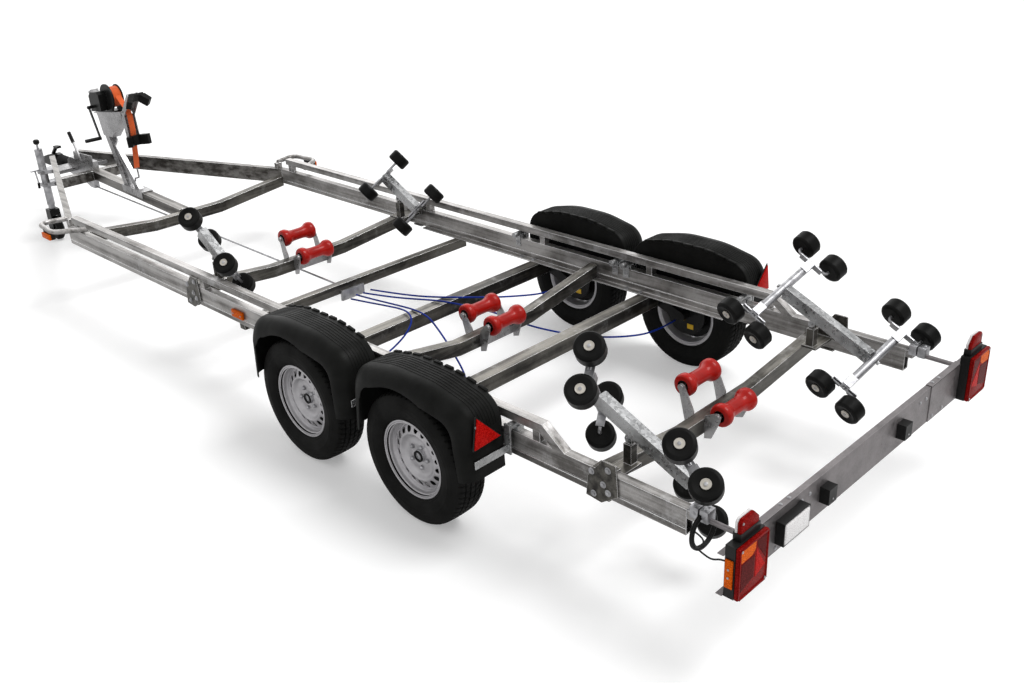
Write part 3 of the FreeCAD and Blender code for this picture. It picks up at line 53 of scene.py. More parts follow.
def mm(*rows):
    """Rows of millimetres as a table in metres."""
    return tuple(tuple(value / 1000 for value in row) for row in rows)


# Camera, and the suns as (turn in degrees, strength, spread in degrees)
CAMERA_AT = (-5.5522, 3.5893, 2.8092)
CAMERA_TURN = (64.5975, 2.6212, -135.5265)
LENS_MM = 36.908
SENSOR_MM = 36.0
SUNS = {"key": ((30, 6, -60), 1.9, 30), "fill": ((60, 0, 60), 0.5, 50)}
WHITE = (1.0, 1.0, 1.0, 1.0)
WORLD_LIGHT = 0.55
WORLD_SEEN = 1.0
FLOOR_HALF = 60.0
FLOOR_GLOW = 0.28

# Cable of the light board, with the same points as its solid
BOARD_X = -3.93
COIL_X = -3.732
COIL_Y = 0.8745
COIL_Z = 0.4823
COIL_R = 0.075
COIL_START = math.radians(-64)
COIL_TURNS = 7
TURN_POINTS = 16
LAST_TURN_EXTRA = 2
CABLE_D = 0.007
CABLE_START = (
    (BOARD_X + 0.003, 0.962, 0.47), (BOARD_X + 0.055, 0.962, 0.47), (BOARD_X + 0.1, 0.955, 0.44),
    (BOARD_X + 0.145, 0.93, 0.42),
)
CABLE_END = (
    (-3.721, 0.85, 0.416), (-3.692, 0.856, 0.437), (-3.66, 0.864, 0.453), (-3.624, 0.876, 0.462),
    (-3.624, 0.856, 0.462),
)

# Road wheels, about the middle of each wheel; sections are (distance outward, radius)
REAR_AXLE = -2.32
FRONT_AXLE = -1.465
RIM_SPIN = {"rear": (REAR_AXLE, 33.0), "front": (FRONT_AXLE, 8.0)}
SIDE_SPIN = 17.0
WHEEL_Y = 1.03
WHEEL_Z = 0.325
TREAD_PITCHES = 64
PITCH_STEPS = 8
SIPE_STEPS = 1.8
TREAD_ENDS = (0.056, 0.064)
CROWN_DROP = 0.0025
GROOVE_DEPTH = 0.0065
SIPE_DEPTH = 0.005
GROOVE_YS = (-0.044, -0.015, 0.015, 0.044)
GROOVE_HALF = 0.0036
GROOVE_WALL = 0.7
RIB_POINTS = (0.01, 0.019)
RIB_SIPE = 0.8
CENTRE_RIBS = 0.03
CENTRE_SIPE = 0.6
CENTRE_SHIFT = 4.0
SIPE_SLOPE = 60.0
SIPE_SKEW = 1.5
SIDEWALL = mm(
    (69.5, 178.6), (71.2, 192.5), (72.2, 199), (78, 203), (80, 205.2), (79.2, 207.8), (83.8, 216),
    (88, 228), (91.2, 241), (93, 254), (93.6, 256), (93, 258.5), (92.6, 270), (91, 281), (90.2, 282.5),
    (90.2, 284.5), (88.4, 290), (86.2, 298), (83.6, 306), (80, 313), (75.5, 318), (70, 321),
)
RIM_FACE = mm(
    (70.5, 194.5), (73.5, 193.5), (74.8, 190.5), (74, 187), (71.2, 185), (66, 183.5), (61, 180), (57, 174),
    (52, 172.2), (44, 171.5), (40, 169), (34, 164), (29, 162.2), (27, 160), (28.5, 156),
)
RIM_BAND = ((0.0288, 0.1558), (0.044, 0.12))
RIM_DISH = mm(
    (44.5, 118.5), (45, 115), (44, 112), (40, 108), (33, 102), (27.5, 96), (25.2, 90), (24.5, 82),
    (24, 70), (26.2, 64), (26.5, 48), (24.5, 42), (24.5, 0),
)
RIM_BACK = mm((20.5, 0), (20.5, 90), (23.5, 98.5), (36, 110), (40.5, 115), (40.5, 118))
RIM_BARREL = mm(
    (24.5, 156), (23, 165), (10, 166), (-30, 166.5), (-48, 171.5), (-66, 174), (-73.5, 185),
    (-74.8, 190.5), (-73.5, 193.5), (-70.5, 194.5), (-70, 179), (70, 179), (70.5, 194.5),
)
BAND_DEPTH = 0.004
HOLES = 18
HOLE_ARC = 12
HOLE_SIDE = 4
HOLE_HALF = (0.0138, 0.016)
HOLE_LIP = 0.0016
HOLE_SINK = 0.001
NUTS = 5
NUT_RING = 0.056
NUT_R = 0.0108
NUT_BASE = 0.0235
NUT_HEIGHT = 0.013
NUT_SEAT = mm((22.8, 0), (23.2, 14.5), (26.2, 12.2), (26.2, 0))
NUT_TIP = mm((36, 0), (36.2, 8.8), (40, 6.6), (41.5, 0))
CAP = mm(
    (23.6, 0), (24, 30), (30, 29.2), (32.2, 27), (32.2, 20.5), (31.2, 20), (31.2, 17), (32.6, 16.5),
    (33, 0),
)
CAP_RING = mm((31.8, 28.2), (38.5, 27.8), (38.5, 20), (31.8, 20))
DRUM = mm(
    (14, 0), (14, 112), (6, 116), (4, 156), (-10, 158), (-11, 116), (-44, 116), (-44, 121), (-49, 121),
    (-49, 16),
)

# Rocking groups: pivot (x, z), reach of each cross bar, then pitch and roll of each side at rest
GROUP_Y = 0.71
PIVOT_RISE = 0.05
FRONT_GROUP = (
    (-0.115, 0.66), {"a": 0.18, "b": -0.18}, {"left": 33.0, "right": 28.0}, {"left": 56.0, "right": 46.0},
)
REAR_GROUP = (
    (-3.255, 0.621), {"a": 0.2185, "b": -0.3385}, {"left": 24.0, "right": 24.6},
    {"left": 54.0, "right": 25.0},
)
REAR_TILT = {"left": {"a": 56.0, "b": 15.0}, "right": {"a": 8.0, "b": 5.0}}
ROLLER_R = 0.065
ROLLER_HALF = 0.0375
ROLLER_FIT = 0.0002
HUB_CAP_R = 0.017
BAR_OUT = 0.152
BAR_ROD_U = 0.011
PAIR_OUT = 0.28
PAIR_HALF = 0.089
HUB_RING = mm(
    (30, 0), (30.5, 20.5), (36.2, 21.2), (37.2, 20), (36.6, 18), (35.2, 16.5), (35.2, 10), (36.4, 9.5),
    (36.4, 0),
)
ROD_END = mm((35, 0), (35.2, 7.5), (38.4, 7.2), (39.2, 5), (39.2, 0))

# Brake cables, measured from the rear axle: equaliser to backplate
BRAKE_CABLE_R = 0.0052
BRAKE_LINES = (
    mm(
        (1686, -10, 352), (1498, -1, 385), (1295, 1, 420), (1133, -25, 443), (982, -114, 451),
        (880, -216, 445), (877, -324, 410), (857, -502, 365), (847, -668, 325), (900, -860, 285),
        (920, -930, 270), (920, -963.5, 270),
    ),
    mm(
        (1679, 52, 352), (1435, 50, 390), (1277, 45, 420), (1156, 29, 440), (1044, -6, 451),
        (979, -21, 453), (902, -68, 440), (780, -200, 385), (606, -263, 335), (503, -293, 325),
        (326, -355, 315), (172, -463, 305), (84, -601, 292), (45, -716, 282), (60, -900, 270),
        (65, -963.5, 270),
    ),
    mm(
        (1690, 99, 352), (1534, 126, 380), (1266, 156, 425), (1069, 162, 448), (967, 178, 455),
        (900, 188, 448), (823, 209, 425), (708, 243, 385), (578, 301, 358), (459, 356, 335),
        (351, 425, 315), (190, 620, 300), (95, 780, 285), (65, 900, 271), (65, 963.5, 270),
    ),
    mm(
        (1664, 160, 352), (1462, 181, 390), (1209, 201, 438), (1095, 209, 454), (1021, 230, 458),
        (965, 262, 450), (941, 295, 428), (934, 347, 385), (926, 462, 340), (925, 620, 300),
        (920, 800, 276), (920, 910, 270), (920, 963.5, 270),
    ),
)

# Keel rollers: place along the trailer and height; half a section as (along the pin, radius)
KEEL_CENTRES = {
    "1a": (0.092, 0.562), "1b": (-0.089, 0.478), "2a": (-1.633, 0.504), "2b": (-1.826, 0.486),
    "3a": (-3.084, 0.554), "3b": (-3.283, 0.467),
}
KEEL_HALF = mm(
    (106, 15), (107, 27), (118, 28.5), (118, 43), (116.5, 48), (112, 52.2), (104, 54.6), (93, 55.2),
    (84, 54.2), (77, 51.5), (69, 46.5), (61, 41.8), (51, 38.6), (38, 36.8), (20, 36.2),
)
RECESS_Y = 0.1055
RECESS_R = 0.0282

# Mudguards: middle of each guard and its wheel's place; half the outline's corners and how far each is bent
GUARD_MIDDLES = {"rear": (-2.355, REAR_AXLE), "front": (-1.515, FRONT_AXLE)}
GUARD_CORNERS = ((0.0, 0.76), (0.13, 0.76), (0.383, 0.705), (0.395, 0.39))
GUARD_BENDS = (0.6, 0.12)
BEND_STEPS = 8
GUARD_T = 0.0038
GUARD_OUT = 1.15
SHOULDER_Y = 1.078
SHOULDER_DROP = 0.07
GUARD_DROP = 0.0755
GUARD_EDGE = ((0.93, 0.058), (0.93, 0.006), (0.9318, 0.0018), (0.936, 0.0), (1.04, 0.0))
GUARD_LINING = ((0.9335, 0.058), (0.9335, 0.006), (0.9345, 0.0045), (0.9375, GUARD_T), (1.04, GUARD_T))
WHEEL_CLEAR = 0.368
DROP_LIMITS = (0.05, 0.098)
SKIRT_Y = (0.9305, 0.9335)
SKIRT_R = 0.292
SKIRT_FOOT = 0.5
RIBS = 7
RIB_Y = 0.962
RIB_PITCH = 0.0165
RIB_WIDTH = 0.004
RIB_INSETS = (-0.0016, 0.001)
RIB_FOOT = 0.45
LUGS = 9
LUG_PITCH = 0.071
LUG = ((-0.025, 0.9215, -0.011), (0.025, 0.94, 0.006))

# Reflectors behind the mudguards, corners as (side, height) on the left; patches on the right backplates
REFLECTOR_X = -2.754
REFLECTOR = ((1.089, 0.69), (1.112, 0.548), (0.962, 0.556))
REFLECTOR_SCREWS = ((1.094, 0.65), (1.03, 0.572))
PATCHES = ((-1.502, 0.253), (-2.354, 0.252))
PATCH_HALF = (0.021, 0.015)
PATCH_YS = (-0.966, -0.9648)

# Outlines on the rear lamps, as (side, height) on the left
MARKER = ((0.873, 0.604), (0.99, 0.604), (0.99, 0.672), (0.978, 0.687), (0.908, 0.688), (0.873, 0.652))
INDICATOR = ((1.024, 0.594), (0.932, 0.588), (0.934, 0.556), (0.954, 0.54), (1.022, 0.538))
REFLEX = ((0.928, 0.556), (0.866, 0.455), (0.93, 0.432))
STOP = ((1.02, 0.532), (0.938, 0.534), (0.94, 0.44), (1.02, 0.415))
UPPER = ((0.924, 0.586), (0.864, 0.586), (0.864, 0.48), (0.922, 0.562))
FIELD_XS = (-3.9908, -3.9896)

# Bolts: washer as (outward, share of the head's radius), and the head's height as a share of its radius
WASHER = ((-0.001, 0.0), (-0.001, 1.5), (0.0018, 1.5), (0.0022, 1.4), (0.0022, 0.0))
HEAD_HEIGHT = 0.75

# Screws and bolts of the left side: way out, head radius and places; both sides have them
BACK, FORE, OUT, INWARD, UP = (-1, 0, 0), (1, 0, 0), (0, 1, 0), (0, -1, 0), (0, 0, 1)
LENS_SCREWS = (
    (BACK, 0.0035, ((-3.9915, 1.02, 0.588), (-3.9915, 0.863, 0.392), (-3.962, 0.977, 0.668))),
    (OUT, 0.003, ((-3.9505, 1.04, 0.47), (-3.9505, 1.04, 0.505))),
    (OUT, 0.003, ((-0.652, 0.913, 0.4975), (-0.578, 0.913, 0.4975))),
)
BOARD_BOLTS = (
    (UP, 0.0055, ((-3.917, 0.5967, 0.5635), (-3.917, 0.6555, 0.5635))),
    (BACK, 0.0055, ((-3.93, 0.5208, 0.5163), (-3.93, 0.463, 0.5184))),
    (BACK, 0.0055, ((-3.9335, 0.6, 0.4), (-3.9335, 0.7, 0.4))),
)
PLATE_LAMP_SCREWS = ((-3.972, 0.356, 0.46), (-3.972, -0.279, 0.46))

# Blocks that clamp the board's tubes at the rails' ends, and the bolts of the frame
CLAMP_XS = (-3.766, -3.722)
CLAMP_LONG = 0.038
CLAMP_HALF = 0.026
CLAMP_ZS = (0.531, 0.582)
CLAMP_BOLTS = (
    (UP, 0.006, tuple((x, COIL_Y + y, 0.582) for x in (-3.747, -3.703) for y in (-0.014, 0.014))),
    (OUT, 0.006, ((-3.747, 0.9005, 0.556), (-3.703, 0.9005, 0.556))),
)
REAR_CLAMP = ((-3.3, 0.575), (-3.215, 0.54), (-3.275, 0.5), (-3.225, 0.44), (-3.3, 0.47))
FRONT_CLAMP = ((-0.165, 0.58), (-0.08, 0.545), (-0.14, 0.505), (-0.09, 0.445), (-0.165, 0.475))
FRAME_BOLTS = (
    (OUT, 0.01, tuple((x, 0.905, z) for x, z in REAR_CLAMP + FRONT_CLAMP)),
    (INWARD, 0.008, tuple((x, 0.848, 0.528) for x in (-1.104, -1.895, -1.975, -2.766))),
    (UP, 0.01, tuple((x, 0.828, 0.445) for x in (-2.1, -2.0, -1.25, -1.15))),
    (UP, 0.009, ((-0.57, 0.838, 0.439),)),
)
MEMBERS = ((0.002, 0.425), (-1.73, 0.402), (-3.185, 0.415))
MEMBER_BOLTS = (0.06, 0.095)
MEMBER_HALF = 0.03

# Clamp handle beside the jockey wheel: rods from point to point with their radius
HANDLE_RODS = (
    ((3.069, 0.47, 0.586), (3.0505, 0.47, 0.493), 0.006), ((3.066, 0.44, 0.59), (3.07, 0.505, 0.59), 0.006),
)
GRIP_ROD = ((3.0505, 0.47, 0.494), (3.059, 0.47, 0.4495), 0.01)


class Graph:
    """Short calls for a tree of nodes."""

    def __init__(self, owner):
        owner.use_nodes = True
        self.owner = owner
        self.tree = owner.node_tree
        self.tree.nodes.clear()

    def add(self, kind, **settings):
        node = self.tree.nodes.new(kind)
        for key, value in settings.items():
            setattr(node, key, value)
        return node

    def put(self, socket, value):
        if isinstance(value, bpy.types.NodeSocket):
            self.tree.links.new(value, socket)
        else:
            socket.default_value = value

    def feed(self, node, **values):
        """Set or link a node's inputs; an underscore stands for a space in a socket's name."""
        for name, value in values.items():
            self.put(node.inputs[name.replace("_", " ")], value)
        return node.outputs

    def paint(self, **values):
        """Set or link the shader's inputs and give the finished material."""
        self.feed(self.shader, **values)
        return self.owner

    def where(self, stretch):
        if stretch is None:
            return self.coords
        return self.feed(self.add("ShaderNodeMapping"), Vector=self.coords, Scale=stretch)["Vector"]

    def noise(self, scale, detail=4.0, stretch=None, rough=0.55):
        node = self.add("ShaderNodeTexNoise")
        return self.feed(node, Vector=self.where(stretch), Scale=scale, Detail=detail, Roughness=rough)["Fac"]

    def cells(self, scale, stretch=None):
        return self.feed(self.add("ShaderNodeTexVoronoi"), Vector=self.where(stretch), Scale=scale)

    def ramp(self, fac, *stops):
        node = self.add("ShaderNodeValToRGB")
        elements = node.color_ramp.elements
        while len(elements) < len(stops):
            elements.new(0.5)
        for element, (place, colour) in zip(elements, stops):
            element.position = place
            element.color = (*colour, 1.0) if isinstance(colour, tuple) else (colour, colour, colour, 1.0)
        return self.feed(node, Fac=fac)["Color"]

    def mix(self, fac, first, second, blend="MIX"):
        node = self.add("ShaderNodeMix", data_type="RGBA", blend_type=blend)
        self.put(node.inputs[0], fac)
        for socket, value in ((node.inputs[6], first), (node.inputs[7], second)):
            self.put(socket, (*value, 1.0) if isinstance(value, tuple) else value)
        return node.outputs[2]

    def math(self, operation, first, second):
        node = self.add("ShaderNodeMath", operation=operation)
        self.put(node.inputs[0], first)
        self.put(node.inputs[1], second)
        return node.outputs[0]

    def bump(self, height, strength, distance, normal=None):
        node = self.add("ShaderNodeBump")
        if normal is not None:
            self.put(node.inputs["Normal"], normal)
        return self.feed(node, Height=height, Strength=strength, Distance=distance)["Normal"]

    def soft_edge(self, radius):
        return self.feed(self.add("ShaderNodeBevel", samples=4), Radius=radius)["Normal"]

    def true_normal(self):
        return self.add("ShaderNodeNewGeometry").outputs["Normal"]

    def edge_mask(self, radius):
        """White along edges, from how far the rounded normal turns from the true one."""
        rounded = self.soft_edge(radius)
        dot = self.add("ShaderNodeVectorMath", operation="DOT_PRODUCT")
        self.put(dot.inputs[0], rounded)
        self.put(dot.inputs[1], self.true_normal())
        return self.ramp(dot.outputs["Value"], (0.93, 1.0), (0.995, 0.0)), rounded


def material(name):
    """Node material with its shader and object coordinates."""
    graph = Graph(bpy.data.materials.new(name))
    output = graph.add("ShaderNodeOutputMaterial")
    graph.shader = graph.add("ShaderNodeBsdfPrincipled")
    graph.put(output.inputs["Surface"], graph.shader.outputs["BSDF"])
    graph.coords = graph.add("ShaderNodeTexCoord").outputs["Object"]
    return graph


def toned(tone, share, lift=0.0):
    """Tone made darker or paler."""
    return tuple(min(1.0, c * share + lift) for c in tone)


def rolled_steel(name, dark, pale, edge, faces, along=(0.35, 9.0, 9.0), bloom=0.55, roughness=0.36):
    """Weathered galvanised section: long streaks, white bloom and bright edges, partly worn zinc and partly a
    painted highlight.

    faces are the shares of light on its top, sides and underside.
    """
    graph = material(name)
    streaks = graph.noise(3.0, 5.0, along, 0.6)
    mottle = graph.noise(14.0, 6.0, None, 0.65)
    patches = graph.noise(2.6, 3.0, None, 0.5)
    fac = graph.math("ADD", graph.math("MULTIPLY", streaks, 0.5), graph.math("MULTIPLY", mottle, 0.2))
    fac = graph.math("ADD", fac, graph.math("MULTIPLY", patches, 0.3))
    tone = graph.ramp(fac, (0.42, dark), (0.57, pale))
    white = graph.ramp(graph.noise(7.0, 9.0, None, 0.72), (0.56, 0.0), (0.7, bloom))
    tone = graph.mix(white, tone, (0.7, 0.7, 0.71))
    specks = graph.ramp(graph.cells(160.0)["Distance"], (0.1, 1.0), (0.7, 0.84))
    tone = graph.mix(1.0, tone, specks, "MULTIPLY")
    # Painted light: faces turned up are painted paler and faces turned down darker, by the shares in faces.
    facing = graph.feed(graph.add("ShaderNodeSeparateXYZ"), Vector=graph.true_normal())
    level = graph.math("ADD", graph.math("MULTIPLY", facing["Z"], 0.5), 0.5)
    top, side, under = (share / max(faces) for share in faces)
    painted_facing_light = graph.ramp(level, (0.1, under), (0.42, side), (0.62, side), (0.9, top))
    tone = graph.mix(1.0, tone, painted_facing_light, "MULTIPLY")
    # Painted highlight, partly worn zinc: the rounded edges are painted in the pale edge colour.
    edge_highlight, rounded = graph.edge_mask(0.0035)
    fine = graph.noise(90.0, 5.0, (0.25, 1.0, 1.0))
    return graph.paint(
        Base_Color=graph.mix(edge_highlight, tone, edge), Metallic=0.75,
        Roughness=graph.ramp(mottle, (0.3, roughness - 0.08), (0.7, roughness + 0.1)),
        Normal=graph.bump(fine, 0.18, 0.002, rounded),
    )


def spangled_steel(name, tone, roughness, spangle=60.0):
    """Fresh galvanised plate with crystal spangle."""
    graph = material(name)
    crystals = graph.cells(spangle)["Color"]
    grain = graph.ramp(crystals, (0.1, toned(tone, 0.78)), (0.9, tone))
    dirt = graph.ramp(graph.noise(9.0, 5.0), (0.35, 0.72), (0.6, 1.0))
    # Painted highlight, partly worn zinc: the rounded edges are painted paler than the plate.
    edge_highlight, rounded = graph.edge_mask(0.002)
    return graph.paint(
        Base_Color=graph.mix(edge_highlight, graph.mix(1.0, grain, dirt, "MULTIPLY"), toned(tone, 1.25)), Metallic=0.8,
        Roughness=graph.ramp(crystals, (0.2, roughness - 0.1), (0.8, roughness + 0.12)),
        Normal=graph.bump(graph.noise(70.0, 4.0), 0.12, 0.002, rounded),
    )


def zinc_plate(name, tone, roughness, metal, depth):
    """Bright zinc plating on rods, pins and small plates; its stains go down to depth of the tone."""
    graph = material(name)
    stain = graph.noise(24.0, 5.0)
    return graph.paint(
        Base_Color=graph.ramp(stain, (0.3, toned(tone, depth)), (0.65, tone)), Metallic=metal,
        Roughness=graph.ramp(stain, (0.3, roughness + 0.15), (0.7, roughness)),
        Normal=graph.bump(graph.noise(260.0, 3.0), 0.08, 0.001, graph.soft_edge(0.0015)),
    )


def moulded(name, tone, roughness, grain=300.0, depth=0.05, coat=0.0, edge=0.002, gloss=0.2):
    """Moulded rubber or plastic with a fine grain and a slightly worn tone."""
    graph = material(name)
    patches = graph.noise(7.0, 5.0)
    return graph.paint(
        Base_Color=graph.ramp(patches, (0.32, toned(tone, 0.75)), (0.68, toned(tone, 1.3, 0.004))),
        Roughness=graph.ramp(patches, (0.3, roughness + 0.08), (0.7, roughness - 0.05)),
        Specular_IOR_Level=gloss, Coat_Weight=coat, Coat_Roughness=0.12,
        Normal=graph.bump(graph.noise(grain, 3.0), depth, 0.001, graph.soft_edge(edge)),
    )


def webbing(name, tone, rib_scale=130.0):
    """Woven strap: fine ribs across a paler worn tone, with painted shade between the ribs."""
    graph = material(name)
    waves = []
    for axis in "YZ":
        node = graph.add("ShaderNodeTexWave", wave_type="BANDS", bands_direction=axis)
        waves.append(graph.feed(node, Vector=graph.coords, Scale=rib_scale)["Fac"])
    ribs = graph.math("MULTIPLY", *waves)
    dark = toned(tone, 0.72)
    worn = graph.ramp(graph.noise(26.0, 4.0), (0.3, dark), (0.7, tone))
    # Painted shade: a quarter of the tone is darkened between the ribs, in the hollows of the weave.
    return graph.paint(
        Base_Color=graph.mix(0.25, worn, graph.ramp(ribs, (0.0, dark), (1.0, tone))), Roughness=0.8,
        Sheen_Weight=0.3, Normal=graph.bump(ribs, 0.5, 0.001),
    )


def lens(name, tone, roughness=0.25, depth=0.62):
    """Moulded lamp lens with its fine prisms under a gloss skin, and a painted glint paler in each prism's
    middle.
    """
    graph = material(name)
    prisms = graph.cells(150.0, (1.0, 1.0, 1.6))["Distance"]
    # Painted glint: the tone is paler in each prism's middle and darker towards its rim.
    return graph.paint(
        Base_Color=graph.ramp(prisms, (0.0, toned(tone, 1.35, 0.01)), (0.6, toned(tone, depth))),
        Roughness=roughness, Specular_IOR_Level=0.025,
        Normal=graph.bump(prisms, 0.2, 0.002, graph.soft_edge(0.003)),
    )


RAIL = rolled_steel("rail_galvanised", (0.17, 0.16, 0.15), (0.62, 0.6, 0.585), (0.92, 0.92, 0.93),
                    (1.5, 1.0, 0.5))
DRAW = rolled_steel("drawbar_galvanised", (0.06, 0.052, 0.045), (0.36, 0.345, 0.325), (0.85, 0.85, 0.86),
                    (1.6, 1.0, 0.5), bloom=0.3)
MEMBER = rolled_steel("member_galvanised", (0.05, 0.046, 0.04), (0.27, 0.255, 0.225), (0.75, 0.74, 0.74),
                      (2.2, 1.0, 0.5), along=(9.0, 0.35, 9.0), bloom=0.35)
PALE = spangled_steel("plate_galvanised", (0.42, 0.415, 0.42), 0.34)
BEAM_PALE = spangled_steel("beam_galvanised", (0.47, 0.475, 0.48), 0.32, 80.0)
BOARD = spangled_steel("board_sheet", (0.25, 0.232, 0.235), 0.46, 140.0)
ZINC = zinc_plate("zinc_bright", (0.44, 0.44, 0.455), 0.32, 0.9, 0.5)
RIM_PAINT = zinc_plate("rim_silver", (0.46, 0.45, 0.465), 0.34, 0.55, 0.86)
TYRE = moulded("tyre_rubber", (0.0055, 0.0055, 0.0052), 0.6, depth=0.25, gloss=0.06)
GUARD = moulded("guard_plastic", (0.0058, 0.006, 0.0055), 0.42, 520.0, 0.2, edge=0.003, gloss=0.055)
RED = moulded("keel_red", (0.36, 0.005, 0.002), 0.3, 150.0, 0.03, coat=0.12, edge=0.004, gloss=0.14)
BLACK = moulded("roller_black", (0.0048, 0.0048, 0.0046), 0.36, 200.0, 0.06, edge=0.004, gloss=0.06)
BLACK_PAINT = moulded("black_paint", (0.0052, 0.0052, 0.005), 0.3, 120.0, gloss=0.12)
HUB = moulded("hub_cream", (0.5, 0.47, 0.42), 0.4, 260.0, coat=0.1)
BELLOWS = moulded("bellows_rubber", (0.009, 0.009, 0.009), 0.55, 420.0, 0.15)
BLUE = moulded("cable_blue", (0.004, 0.022, 0.22), 0.4, gloss=0.08)
CABLE = moulded("cable_black", (0.007, 0.007, 0.007), 0.4, gloss=0.16)
LAMP = moulded("lamp_black", (0.008, 0.008, 0.008), 0.35, 200.0, gloss=0.16)
YELLOW = moulded("patch_yellow", (0.62, 0.38, 0.02), 0.5, 200.0, 0.03)
BACKPLATE = moulded("backplate_black", (0.007, 0.007, 0.007), 0.3, 120.0, gloss=0.12)
RED_LENS = lens("lens_red", (0.26, 0.003, 0.002))
DEEP_RED = lens("lens_deep_red", (0.11, 0.0015, 0.001))
BRIGHT_RED = lens("lens_bright_red", (0.56, 0.006, 0.004))
ORANGE_LENS = lens("lens_orange", (0.86, 0.13, 0.004))
WHITE_LENS = lens("lens_white", (0.78, 0.76, 0.76), 0.15, 0.9)
STRAP = webbing("strap_orange", (0.86, 0.12, 0.008))

# Where black takes over from metal on the axles, the jockey tube and the overrun housing
AXLE_END_Y = 0.9
JOCKEY_BLACK_Z = 0.798
HOUSING_BLACK_Z = 0.705

# Materials of the CAD nodes that have one each
NODE_LOOKS = (
    (RAIL, "rail_left", "rail_right"), (DRAW, "drawbar_left", "drawbar_right", "centre_beam"),
    (MEMBER, "cross_front", "cross_keel_front", "cross_keel_mid", "cross_keel_rear", "cross_straight"),
    (GUARD, "mudguards_left", "mudguards_right"), (BEAM_PALE, "mudguard_stays"),
    (PALE, "keel_brackets", "winch_post"), (BLACK, "bow_chocks", "jockey_wheel"), (STRAP, "winch_strap"),
    (BLACK_PAINT, "coupling_head", "jockey_fork", "winch"), (BELLOWS, "bellows"),
    (ZINC, "brake_rod", "jockey_leg"),
    (BLUE, "brake_cables"), (BOARD, "light_board"), (LAMP, "lamp_housings"),
    (CABLE, "light_cable", "light_cable_coil"),
)

# Layers of a reflector: share of the outline, front face behind REFLECTOR_X, thickness
REFLECTOR_LAYERS = (
    ("back", 1.1, 0.004, 0.006, LAMP, "lamp_black"), ("face", 1.0, -0.0015, 0.006, BRIGHT_RED, "lens_red"),
    ("panel", 0.62, -0.0023, 0.002, RED_LENS, "lens_red"),
)

# Pieces of a rear lamp and the parts beside it, on the left: material, slot, edge rounding (width, steps),
# blocks by their corners, and outlines with their two places along the trailer
LAMP_PIECES = (
    ("rear_lens_", RED_LENS, "lens_red", (0.005, 3), (((-3.99, 0.85, 0.38), (-3.9725, 1.033, 0.6)),),
     ((MARKER, -3.962, -3.946),)),
    ("indicator_field_", ORANGE_LENS, "lens_red", None, (), ((INDICATOR, *FIELD_XS),)),
    ("reflex_field_", BRIGHT_RED, "lens_red", None, (), ((REFLEX, *FIELD_XS),)),
    ("stop_field_", DEEP_RED, "lens_red", None, (), ((STOP, *FIELD_XS),)),
    ("upper_field_", DEEP_RED, "lens_red", None, (), ((UPPER, *FIELD_XS),)),
    ("lens_rim_", RED_LENS, "lens_red", (0.001, 2),
     (((-3.992, 0.85, 0.386), (-3.989, 0.858, 0.594)), ((-3.992, 1.025, 0.386), (-3.989, 1.033, 0.594)),
      ((-3.992, 0.858, 0.38), (-3.989, 1.025, 0.39)), ((-3.992, 0.858, 0.59), (-3.989, 1.025, 0.6))), ()),
    ("side_lens_", ORANGE_LENS, "lens_red", (0.003, 2),
     (((-3.967, 1.0325, 0.425), (-3.934, 1.04, 0.545)),), ()),
    ("front_marker_", WHITE_LENS, "lens_red", (0.004, 2), (), ((MARKER, -3.946, -3.935),)),
    ("side_markers_", ORANGE_LENS, "lens_red", (0.004, 3),
     (((-0.67, 0.8975, 0.475), (-0.56, 0.913, 0.52)), ((1.382, 1.08, 0.546), (1.498, 1.096, 0.584))), ()),
    ("marker_base_", LAMP, "lamp_black", (0.003, 2), (((-3.966, 0.869, 0.598), (-3.931, 0.993, 0.63)),), ()),
)
BOARD_ENDS = (
    ((-3.93, 0.862, 0.382), (-3.904, 1.042, 0.385)), ((-3.93, 0.862, 0.5545), (-3.904, 1.042, 0.5575)),
)
REVERSING_LENS = ((-3.976, 0.532, 0.427), (-3.9615, 0.708, 0.523))
BOARD_OVERLAP = (
    ((-3.9335, 0.563, 0.382), (-3.93, 0.862, 0.56)), ((-3.9335, 0.563, 0.557), (-3.904, 0.862, 0.5635)),
    ((-3.9335, -0.862, 0.382), (-3.93, -0.56, 0.56)), ((-3.9335, -0.862, 0.557), (-3.904, -0.56, 0.5635)),
)


def placed(name, data, at=(0.0, 0.0, 0.0), turn=(0.0, 0.0, 0.0)):
    """Object in the scene at its place, turned by degrees."""
    obj = bpy.data.objects.new(name, data)
    obj.location = at
    obj.rotation_euler = [math.radians(angle) for angle in turn]
    bpy.context.scene.collection.objects.link(obj)
    return obj


def dressed(obj, body, made, slot, *replaced):
    """Put an object on its body, with its material, and hide the nodes that it stands for; its slot is not
    used.
    """
    if not obj.data.materials:
        obj.data.materials.append(made)
    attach(obj, body)
    if replaced:
        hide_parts(*replaced)
    return obj


def smooth(mesh, sharp=32):
    """Smooth shading up to the edges that are sharper than some degrees."""
    mesh.polygons.foreach_set("use_smooth", [True] * len(mesh.polygons))
    mesh.set_sharp_from_angle(angle=math.radians(sharp))
    return mesh


def bm_mesh(name, bm):
    """Mesh from a bmesh, with its faces turned outward."""
    bmesh.ops.recalc_face_normals(bm, faces=bm.faces)
    mesh = bpy.data.meshes.new(name)
    bm.to_mesh(mesh)
    bm.free()
    return mesh


def bm_piece(name, bm, made, slot, *replaced, body="chassis", side=1, rounding=None):
    """Piece from a bmesh of the left side, with its edges rounded and mirrored for the right."""
    if rounding:
        round_edges(bm, bm.edges, *rounding)
    if side < 0:
        bmesh.ops.scale(bm, vec=(1.0, -1.0, 1.0), verts=bm.verts)
        bmesh.ops.reverse_faces(bm, faces=bm.faces)
    return dressed(placed(name, smooth(bm_mesh(name, bm))), body, made, slot, *replaced)


